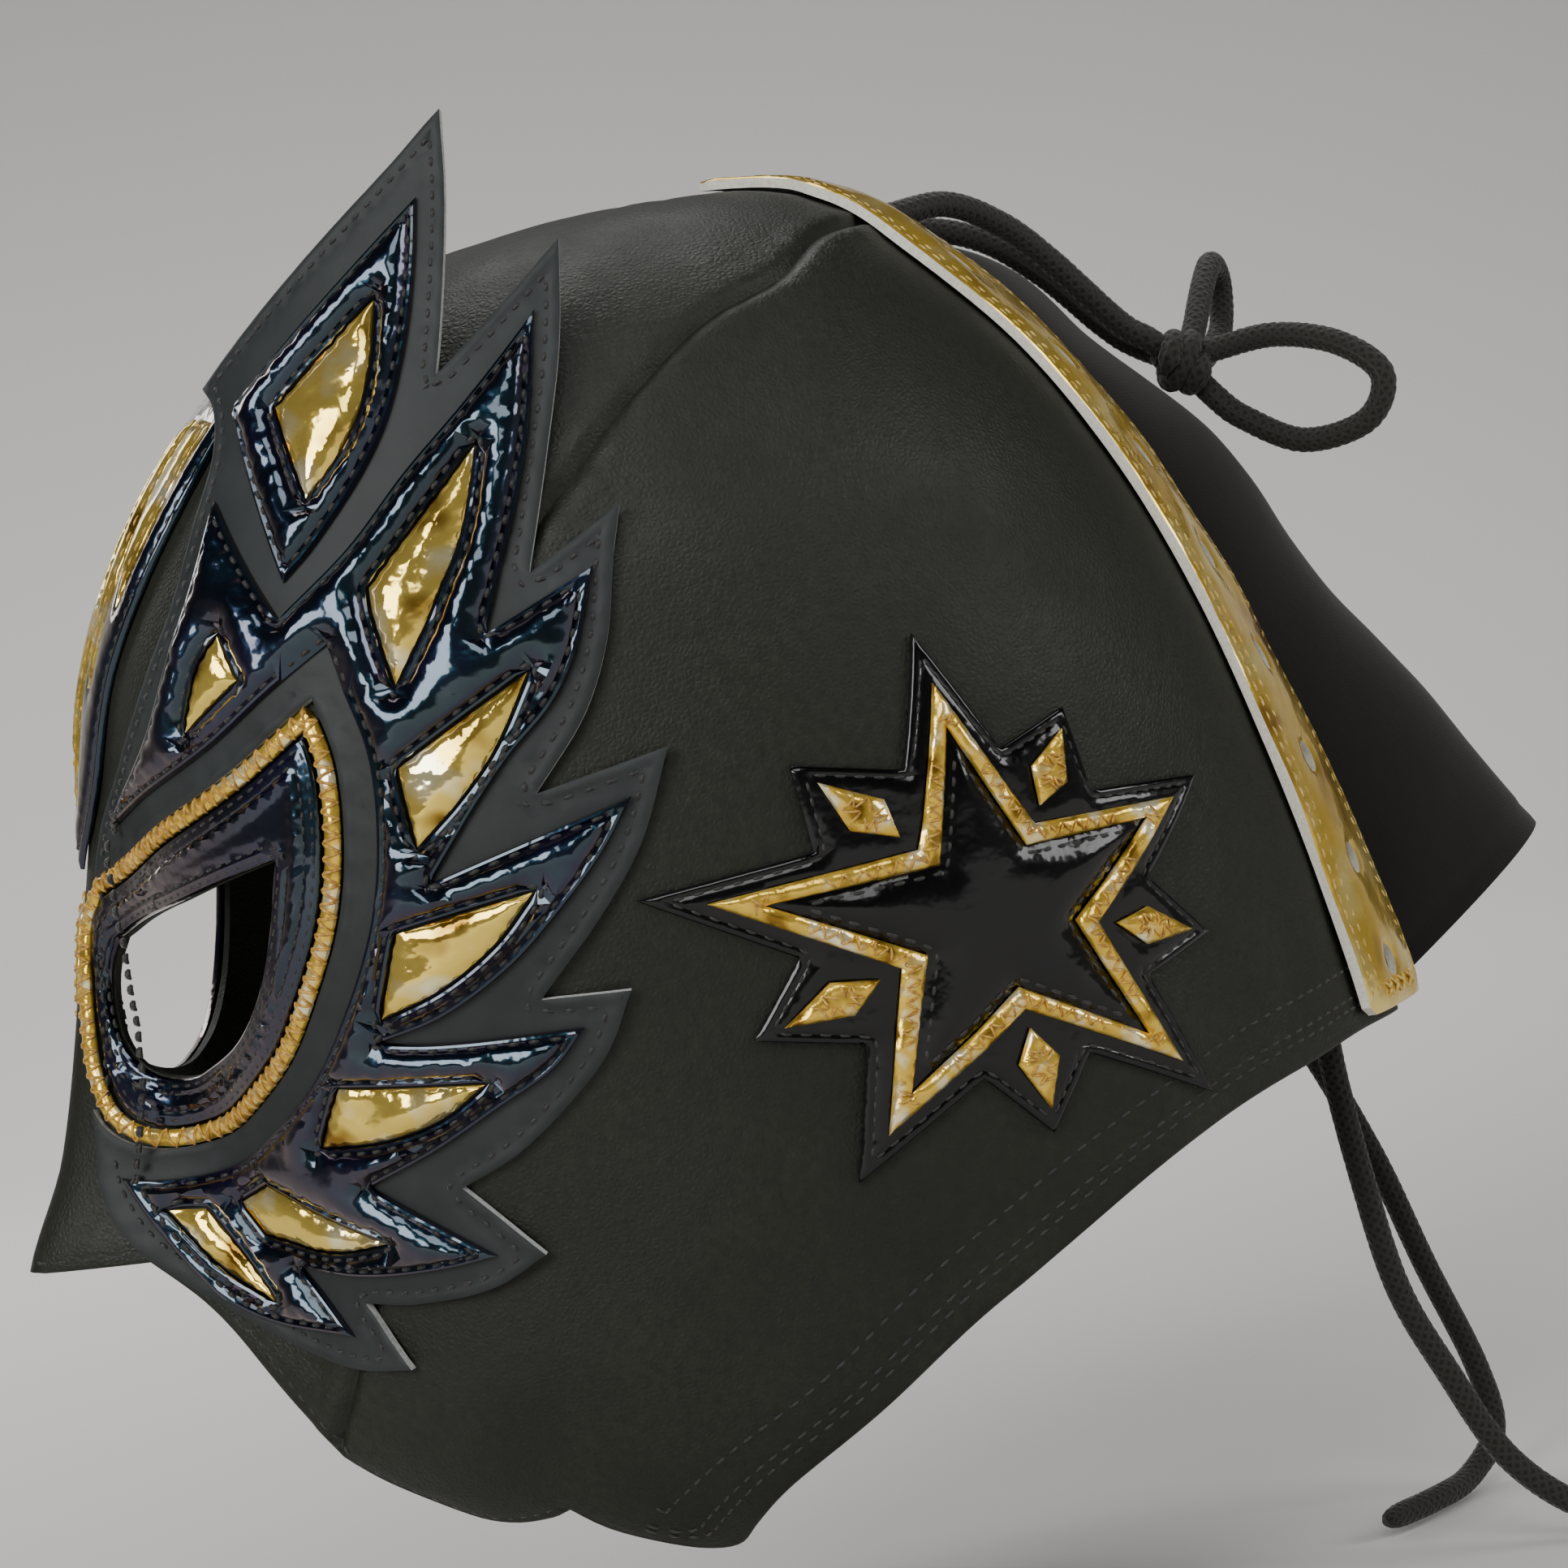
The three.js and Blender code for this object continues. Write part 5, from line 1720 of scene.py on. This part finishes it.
@dataclass
class Star:
    """The star patch on each side: gold bars and rays sewn on padded patent."""

    wardrobe: Wardrobe
    angle: float = 95.0
    drop: float = 62.5
    reach: float = 36.0
    waist: float = 0.42
    bar: float = 3.0
    border: float = 4.0
    ray: float = 13.0
    ray_width: float = 6.0
    clearance: float = 0.3
    patch: float = 1.6

    def round_points(self, reaches: Sequence[float]) -> Array:
        """Five like sectors of corners round the star's centre."""
        count = 5 * len(reaches)
        turn = math.pi / 2 + np.arange(count) * math.tau / count
        size = np.array([reaches[i % len(reaches)] for i in range(count)])
        return self.centre() + size[:, None] * np.stack([np.cos(turn), np.sin(turn)], 1)

    def centre(self) -> Array:
        """The star's centre on the flat pattern."""
        return flat([[self.angle, self.drop]])[0]

    def ray_points(self, turn: float) -> Array:
        """The outline of a ray between two points of the star."""
        near = self.reach * self.waist + self.bar
        along = np.array([math.cos(turn), math.sin(turn)])
        across = np.array([-along[1], along[0]])
        shoulder = near + self.ray * 0.4
        half = self.ray_width / 2
        ends = ((near, 0), (shoulder, -half), (near + self.ray, 0), (shoulder, half))
        return np.array([self.centre() + along * far + across * side for far, side in ends])

    def patch_lift(self, shape: Patch, star: Array, golds: Sequence[Array],
                   spots: Array) -> Array:
        """The patch's height: puffed inside the star and in the border."""
        off, along = shape.edge(spots)
        clear = np.full(len(spots), 9.0)
        for loop in golds:
            clear = np.minimum(clear, nearest(spots, loop)[0])
        lift = self.clearance + 0.7 + 0.6 * (1 - np.exp(-off / 0.3))
        lift -= 0.35 * hump(off, 1.3, 0.4)
        held = inside(spots, star)
        puff = np.where(held, 2.0, 0.45) * (1 - np.exp(-np.maximum(clear - 0.4, 0) / 2.2))
        for loop in golds[2:]:
            puff = np.where(inside(spots, loop), 0, puff)
        ring = inside(spots, golds[0]) & ~held
        lift += np.where(ring, 0, puff) * np.clip((off - 1.3) / 1.2, 0, 1)
        return lift + 0.12 * ripple(spots, 5, seed=31) * held

    def bar_lift(self, shape: Patch, spots: Array) -> Array:
        """The gold's height: a rounded bar, pinched a little by its stitches."""
        off, along = shape.edge(spots)
        lift = self.clearance + self.patch + 0.45 + 0.95 * (1 - np.exp(-off / 0.55))
        return lift + 0.1 * np.sin(along * math.tau / 2.4) * np.exp(-off / 0.8)

    def build(self) -> list[Object]:
        """Makes the star patches of both sides."""
        notch = self.reach * self.waist
        valley, tip = (self.reach + notch) / 2, notch + self.bar + self.ray
        outline = self.round_points([self.reach, notch])
        border = self.round_points([self.reach + self.border * 2, valley, tip + self.border, valley])
        outer = curved(outline, 20)
        inner = curved(grown(outline, -self.bar), 20)
        turns = [math.pi / 2 + (2 * i + 1) * math.pi / 5 for i in range(5)]
        rays = [curved(self.ray_points(t), 20, 1.0) for t in turns]
        golds = [outer, inner, *rays]
        shape = Patch(curved(border, 20), [], 1.15, (0.3, 0.8, 1.3, 1.9))
        points, tris = shape.fill(np.concatenate([outer, inner]))
        base = plate_object("star_backing_left", points, tris, HEAD.on_head,
                            self.patch_lift(shape, inner, golds, points), self.clearance,
                            [self.wardrobe["star_patent"]])
        made = both(base, "star_patent", "star_backing", "star_backing")
        dark, bright = Stitching(pitch=2.3, gap=0.7, thick=0.6), Stitching(pitch=1.9, gap=0.35, thick=0.4)
        for run in seam_rows(shape.outline, 1.3):
            dark.row(run, HEAD.on_head, lambda s: self.patch_lift(shape, inner, golds, s))
        for run in seam_rows(inner, 1.3):
            dark.row(run, HEAD.on_head, lambda s: self.patch_lift(shape, inner, golds, s))
        made += both(dark.build("star_patch_thread_left", self.wardrobe["black_thread"]), "star_patent",
                     "star_patch_thread")
        shapes = [("star_outline", Patch(outer, [inner], 0.8, (0.3, 0.75)))]
        shapes += [(f"star_ray_{i + 1}", Patch(loop, [], 0.8, (0.3, 0.75))) for i, loop in enumerate(rays)]
        for stem, bar in shapes:
            points, tris = bar.fill()
            piece = plate_object(f"{stem}_left", points, tris, HEAD.on_head, self.bar_lift(bar, points),
                                 self.clearance + self.patch, [self.wardrobe["piping"]])
            made += both(piece, "gold_piping", stem, stem)
            for run in seam_rows(bar.outline, 1.5 if bar.windows else 1.3):
                self.zigzag(bright, run, bar)
        made += both(bright.build("star_gold_thread_left", self.wardrobe["gold_thread"]), "gold_piping",
                     "star_gold_thread")
        return made

    def zigzag(self, sewn: Stitching, run: Array, bar: Patch) -> None:
        """Crosses a gold bar with zigzag stitches.

        Args:
            sewn: Gathers the stitches.
            run: The middle line of the bar.
            bar: The bar's shape.
        """
        line = curve_through(run, 1.1)
        way = np.gradient(line, axis=0)
        way = unit(way)
        off = np.stack([-way[:, 1], way[:, 0]], 1)
        side = np.where(np.arange(len(line)) % 2 == 0, 1.0, -1.0)[:, None]
        spots = line + off * side * 1.05
        keep = bar.covers(spots[:-1]) & bar.covers(spots[1:])
        if keep.any():
            sewn.cross(spots[:-1][keep], spots[1:][keep], HEAD.on_head, lambda s: self.bar_lift(bar, s))


# The lacing at the back.


@dataclass
class LacingStrips:
    """Gold strips with punched holes along both sides of the lacing gap."""

    wardrobe: Wardrobe
    gap: float = 0.6
    wall: float = 2.0
    width: float = 25.0
    holes: int = 8
    top_hole: float = 12.0
    bottom_hole: float = 75.0
    runs: Array = field(init=False)
    drops: Array = field(init=False)

    def __post_init__(self) -> None:
        """Tabulates the strip's length down its middle."""
        self.drops = np.linspace(LACING[0, 0], LACING[-1, 0], 900)
        outer, inner = self.edges(self.drops)
        middle = HEAD.point((outer + inner) / 2, self.drops)
        self.runs = lengths_along(middle)

    def edges(self, drop: Array) -> tuple[Array, Array]:
        """The angles of the strip's outer and inner edge."""
        return eased(drop, LACING[:, 0], LACING[:, 1]), eased(drop, LACING[:, 0], LACING[:, 2])

    def bend(self, spots: Array, lift: Array | float) -> Array:
        """Bends places of the flat strip onto the head."""
        drop = np.interp(-spots[:, 1], self.runs, self.drops)
        outer, inner = self.edges(drop)
        return HEAD.lifted(outer + (inner - outer) * (spots[:, 0] / self.width + 0.5), drop, lift)

    def lift(self, shape: Patch, spots: Array) -> Array:
        """The strip's height: dips at its rows of stitches and round its holes."""
        off, along = nearest(spots, shape.outline)
        lift = self.gap + self.wall - 0.35 * np.exp(-off / 0.4)
        for row in (1.6, 3.9):
            lift -= 0.28 * np.exp(-((self.width / 2 - np.abs(spots[:, 0]) - row) / 0.4) ** 2)
        hole = np.min([np.linalg.norm((spots - w.mean(0)) / (1.0, 1.25), axis=1)
                       for w in shape.windows], axis=0)
        lift -= 0.5 * np.exp(-np.maximum(hole - 2.2, 0) / 0.7)
        lift += 0.1 * np.sin(along * math.tau / 6.0) * hump(off, 2.7, 1.5)
        return lift + 0.18 * ripple(spots, 8, seed=41)

    def build(self) -> list[Object]:
        """Makes both strips with their stitches."""
        half, length = self.width / 2, float(self.runs[-1])
        inset = 3.0
        loop = np.array([
            [-half + inset, -0.5], [half - inset, -0.5], [half, -inset], [half, -length + 1.5],
            [half - 1.5, -length], [-half + 1.5, -length], [-half, -length + 1.5], [-half, -inset]])
        outline = curved(loop, 30, 1.6)
        windows = []
        for drop in np.linspace(self.top_hole, self.bottom_hole, self.holes):
            turn = np.arange(22) * math.tau / 22
            at = float(np.interp(drop, self.drops, self.runs))
            windows.append(np.stack([2.15 * np.cos(turn), -at + 2.75 * np.sin(turn)], 1))
        shape = Patch(outline, windows, 1.5, (0.35, 0.9, 1.6))
        points, tris = shape.fill()
        strip = plate_object("lacing_strip_left", points, tris, self.bend, self.lift(shape, points),
                             self.gap, [self.wardrobe[k] for k in ("strip", "vinyl", "foam")])
        sewn = Stitching(pitch=2.7, gap=0.5, thick=0.55)
        for x in (half - 1.6, half - 3.9, -half + 1.6, -half + 3.9):
            line = np.stack([np.full(120, x), np.linspace(-2.5, -length + 2.5, 120)], 1)
            sewn.row(line, self.bend, lambda s: self.lift(shape, s))
        xs = np.arange(-half + 5.5, half - 6, 3.4)
        low = np.stack([xs, np.full_like(xs, -length + 1.6)], 1)
        high = np.stack([xs + 3.0, np.full_like(xs, -length + 4.8)], 1)
        sewn.cross(low, high, self.bend, lambda s: self.lift(shape, s))
        sewn.cross(low + (3.0, 0), high - (3.0, 0), self.bend, lambda s: self.lift(shape, s))
        thread = sewn.build("lacing_strip_thread_left", self.wardrobe["yellow_thread"])
        return (both(strip, "gold_strip", "lacing_strip", "lacing_strip")
                + both(thread, "gold_strip", "lacing_strip_thread"))


@dataclass
class Tongue:
    """The woven cloth tongue that bulges out of the lacing gap."""

    wardrobe: Wardrobe
    tuck: float = 9.0
    inset: float = 2.0
    depth: float = 1.8
    wall: float = 2.0
    hood: float = 2.0

    def surface(self, across: Array, drop: Array, inward: Array) -> Array:
        """Places on the tongue.

        Args:
            across: From -1 to 1 between its edges.
            drop: Drops in per cent of the head's height.
            inward: Distances inside its outer face, in millimetres.

        Returns:
            One row of x, y and z for each place.
        """
        gap = 180 - eased(drop, LACING[:, 0], LACING[:, 2])
        edge = gap + self.tuck
        point = HEAD.lifted(180 - edge * across, drop, -self.hood - self.depth - inward)
        middle = np.abs(across) * edge / (gap - self.inset)
        bulge = np.maximum(1 - middle**2, 0)
        point[:, 1] += bulge * eased(drop, TONGUE_ROWS[:, 0], TONGUE_ROWS[:, 1]) * HEAD.height
        point[:, 2] += bulge * eased(drop, TONGUE_ROWS[:, 0], TONGUE_ROWS[:, 2]) * HEAD.height
        return point

    def build(self) -> list[Object]:
        """Makes the tongue with its folds and hem."""
        wide, tall = 64, 110
        u, v = np.meshgrid(np.linspace(-1, 1, wide), np.linspace(0, 1, tall))
        across, share = u.ravel(), v.ravel()
        drop = TONGUE_ROWS[0, 0] + (TONGUE_ROWS[-1, 0] - TONGUE_ROWS[0, 0]) * share
        base = self.surface(across, drop, np.zeros_like(drop))
        grid = base.reshape(tall, wide, 3)
        out = np.cross(np.gradient(grid, axis=0), np.gradient(grid, axis=1)).reshape(-1, 3)
        out = unit(out)
        out *= np.sign(np.sum(out[:, 1]))
        spots = np.stack([across * 40, share * 170], 1)
        folds = 0.45 * ripple(spots * (1.0, 0.6), 17, seed=51) + 0.08 * ripple(spots, 7, seed=52)
        side = (1 - np.abs(across)) * 40
        hem = 0.35 * hump(side, 3, 0.7) + 0.45 * np.exp(-(((1 - share) * 170 - 4) / 0.8) ** 2)
        free = np.clip((0.93 - np.abs(across)) / 0.3, 0, 1)
        outer = base + out * ((folds - hem) * free)[:, None]
        inner = base - out * (self.wall - 0.3 * folds * free)[:, None]
        faces: list[tuple[int, ...]] = []
        count = wide * tall
        for r in range(tall - 1):
            for c in range(wide - 1):
                a = r * wide + c
                quad = (a, a + 1, a + wide + 1, a + wide)
                faces += [quad, tuple(x + count for x in quad[::-1])]
        rim = list(range(wide)) + [r * wide + wide - 1 for r in range(1, tall)]
        rim += [(tall - 1) * wide + c for c in range(wide - 2, -1, -1)]
        rim += [r * wide for r in range(tall - 2, 0, -1)]
        for a, b in zip(rim, rim[1:] + rim[:1]):
            faces.append((b, a, a + count, b + count))
        tongue = new_object("tongue", np.concatenate([outer, inner]), faces, [self.wardrobe["cloth"]])
        dress(tongue, "tongue_cloth", "tongue")
        return [tongue]


@dataclass
class Laces:
    """The braided laces: two strands, a bow with its knot and two hanging ends."""

    wardrobe: Wardrobe
    diameter: float = 4.4

    def braided(self, name: str, path: Array, size: Array) -> Object:
        """Sweeps a lace along a path, with the relief of its plaits.

        Args:
            name: The piece's name.
            path: Its points.
            size: Its radius at each point.

        Returns:
            The piece.
        """
        sides = 28
        run = lengths_along(path)
        turn = np.arange(sides) * math.tau / sides
        spin = run[:, None] * math.tau / 5.6
        left, right = np.cos(4 * turn[None] + 4 * spin), np.cos(4 * turn[None] - 4 * spin)
        relief = 0.11 * np.maximum(left, right)
        return swept(name, path, size[:, None] - 0.09 + relief, [self.wardrobe["braid"]], sides)

    def build(self) -> list[Object]:
        """Makes every lace."""
        made: dict[str, Object] = {}
        for name, route in LACE_ROUTES.items():
            into = [] if name.startswith("lace_end") else [KNOT_CENTRE]
            path = curve_through([*(into if name.startswith("bow") else []), *route, *into], 0.5)
            run = lengths_along(path)
            size = np.full(len(path), self.diameter / 2)
            if name.startswith("lace_end"):
                size *= 1 - 0.45 * np.exp(-((run[-1] - run) / 1.6))
            made[name] = dress(self.braided(name, path, size), "braid", name)
            LOG.info("%s: %.0f mm of lace", name, run[-1])
            facts = {
                "lace_strand": ("knot", "medium", "taut"), "bow_loop": ("knot", "medium", "loose"),
                "lace_end": ("bare", "limp", "hanging"),
            }[name.rsplit("_", 1)[0]]
            made[name]
            tuple(path[0] * MM)
            float(run[-1]) * MM
            self.diameter * MM
            facts[0]
            facts[1]
            facts[2]
            (path[::4] * MM).tolist() + [(path[-1] * MM).tolist()]
        return [*made.values(), *self.knot()]

    def knot(self) -> list[Object]:
        """The knot: one lace wound twice round the others, which fill its middle."""
        axis = np.array([0.1, 0.9, -0.42]) / np.linalg.norm([0.1, 0.9, -0.42])
        side = np.cross(axis, (1.0, 0.0, 0.0))
        side /= np.linalg.norm(side)
        over = np.cross(side, axis)
        t = np.linspace(0, 1, 170)[:, None]
        turn = math.tau * (2.2 * t + 0.1)
        swell = 3.5 + 0.35 * np.sin(1.5 * turn)
        wound = (np.array(KNOT_CENTRE) + axis * (6.6 * t - 3.3)
                 + swell * (np.cos(turn) * side + np.sin(turn) * over))
        ends = np.clip(np.minimum(t, 1 - t)[:, 0] / 0.05, 0.25, 1) ** 0.5
        core = np.array(KNOT_CENTRE) + axis * (11 * t - 5.5)
        round_ends = 3.1 * np.sqrt(np.clip(1 - ((2 * t[:, 0] - 1) / 1.02) ** 2, 0.05, 1))
        return [dress(self.braided("bow_knot", wound, 2.05 * ends), "braid", "bow_knot"),
                dress(self.braided("bow_knot_middle", core, round_ends), "braid")]


# The studio.


@dataclass
class Studio:
    """A pale floor in a pale room, with large soft lights and the camera."""

    wardrobe: Wardrobe
    floor: float = -253.5
    paper: float = 3400.0
    flat_paper: float = 1300.0
    rise: float = 1500.0
    azimuth: float = 77.0
    elevation: float = 2.0
    roll: float = 12.0
    distance: float = 600.0
    target: tuple[float, float, float] = (0.0, -5.0, -110.0)
    focal_pixels: float = 4320.0
    image: float = 1932.0
    target_pixel: tuple[float, float] = (890.0, 1052.0)

    def camera(self) -> None:
        """Sets the camera at the photograph's viewing angle."""
        a, e, r = (math.radians(v) for v in (self.azimuth, self.elevation, self.roll))
        back = Vector((math.sin(a) * math.cos(e), -math.cos(a) * math.cos(e), math.sin(e)))
        right = Vector((math.cos(a), math.sin(a), 0.0))
        up = back.cross(right)
        side = right * math.cos(r) - up * math.sin(r)
        high = right * math.sin(r) + up * math.cos(r)
        lens = bpy.data.cameras.new("camera")
        lens.sensor_width = 36.0
        lens.lens = self.focal_pixels / self.image * 36.0
        lens.shift_x = (self.image / 2 - self.target_pixel[0]) / self.image
        lens.shift_y = (self.target_pixel[1] - self.image / 2) / self.image
        lens.clip_start = 0.01
        lens.clip_end = 50
        made = bpy.data.objects.new("camera", lens)
        place = (Vector(self.target) + back * self.distance) * MM
        made.matrix_world = Matrix((
            (side.x, high.x, back.x, place.x), (side.y, high.y, back.y, place.y),
            (side.z, high.z, back.z, place.z), (0, 0, 0, 1)))
        bpy.context.scene.collection.objects.link(made)
        bpy.context.scene.camera = made

    def backdrop(self) -> None:
        """The floor and backdrop: a wide round sheet of paper, curved up far away."""
        radii = np.linspace(0, self.paper, 35)[1:]
        rises = self.rise * np.clip((radii - self.flat_paper) / (self.paper - self.flat_paper), 0, 1) ** 2
        sides = 72
        turn = np.arange(sides) * math.tau / sides
        verts = [(0.0, 0.0, self.floor)]
        for radius, rise in zip(radii, rises):
            verts += [(radius * math.cos(t), radius * math.sin(t), self.floor + rise) for t in turn]
        faces: list[tuple[int, ...]] = [(0, 1 + i, 1 + (i + 1) % sides) for i in range(sides)]
        for r in range(len(radii) - 1):
            low, high = 1 + r * sides, 1 + (r + 1) * sides
            faces += [(low + i, high + i, high + (i + 1) % sides, low + (i + 1) % sides)
                      for i in range(sides)]
        new_object("studio_floor", np.array(verts), faces, [self.wardrobe["paper"]], sharp=80)

    def lamp(self, name: str, place: tuple[float, float, float], size: float, watts: float,
             aim: tuple[float, float, float] = (0, 0, -0.11)) -> None:
        """A square soft light that faces the mask, or another place.

        Args:
            name: The light's name.
            place: Where it stands, in metres.
            size: Its width, in metres.
            watts: Its power.
            aim: What it faces, in metres.
        """
        light = bpy.data.lights.new(name, "AREA")
        light.shape = "SQUARE"
        light.size = size
        light.energy = watts
        made = bpy.data.objects.new(name, light)
        made.location = place
        way = Vector(place) - Vector(aim)
        made.rotation_euler = way.to_track_quat("Z", "Y").to_euler()
        bpy.context.scene.collection.objects.link(made)

    def lights(self) -> None:
        """Large soft boxes round the mask, in a room that is darker than its floor."""
        self.lamp("key", (0.95, -0.1, 0.75), 0.6, 5)
        self.lamp("front", (0.77, -0.92, 0.4), 0.65, 12)
        self.lamp("back", (0.7, 0.95, 0.35), 0.5, 5)
        self.lamp("top", (-0.4, 0.1, 1.2), 0.8, 8)
        self.lamp("far_side", (-1.1, -0.5, 0.6), 0.5, 3)
        self.lamp("backdrop", (-0.9, 0.1, 1.3), 0.8, 30, (-3.2, 0.0, 0.0))
        world = bpy.data.worlds.new("room")
        world.use_nodes = True
        tree = world.node_tree
        way = node(tree, "ShaderNodeTexCoord").outputs["Generated"]
        high = node(tree, "ShaderNodeSeparateXYZ", {0: way}).outputs[2]
        shade = ramp(tree, node(tree, "ShaderNodeMapRange", {0: high, 1: -1.0, 2: 1.0}).outputs[0],
                     [(0.0, "#b9bab9"), (0.5, "#a5a6a7"), (0.75, "#5c5d5f"), (1.0, "#4a4b4d")])
        tree.links.new(shade, tree.nodes["Background"].inputs[0])
        tree.nodes["Background"].inputs[1].default_value = 0.22
        bpy.context.scene.world = world


def main() -> None:
    """Builds the studio and every sub-assembly, in order."""
    logging.basicConfig(level=logging.INFO, format="%(message)s", stream=sys.stdout)
    wardrobe = Wardrobe()
    studio = Studio(wardrobe)
    studio.camera()
    Laces(wardrobe).build()
    studio.backdrop()
    studio.lights()
    Tongue(wardrobe).build()
    LacingStrips(wardrobe).build()
    Hood(wardrobe).panels()
    Flames(wardrobe).build()
    Crest(wardrobe).build()
    Star(wardrobe).build()


if __name__ == "__main__":
    main()
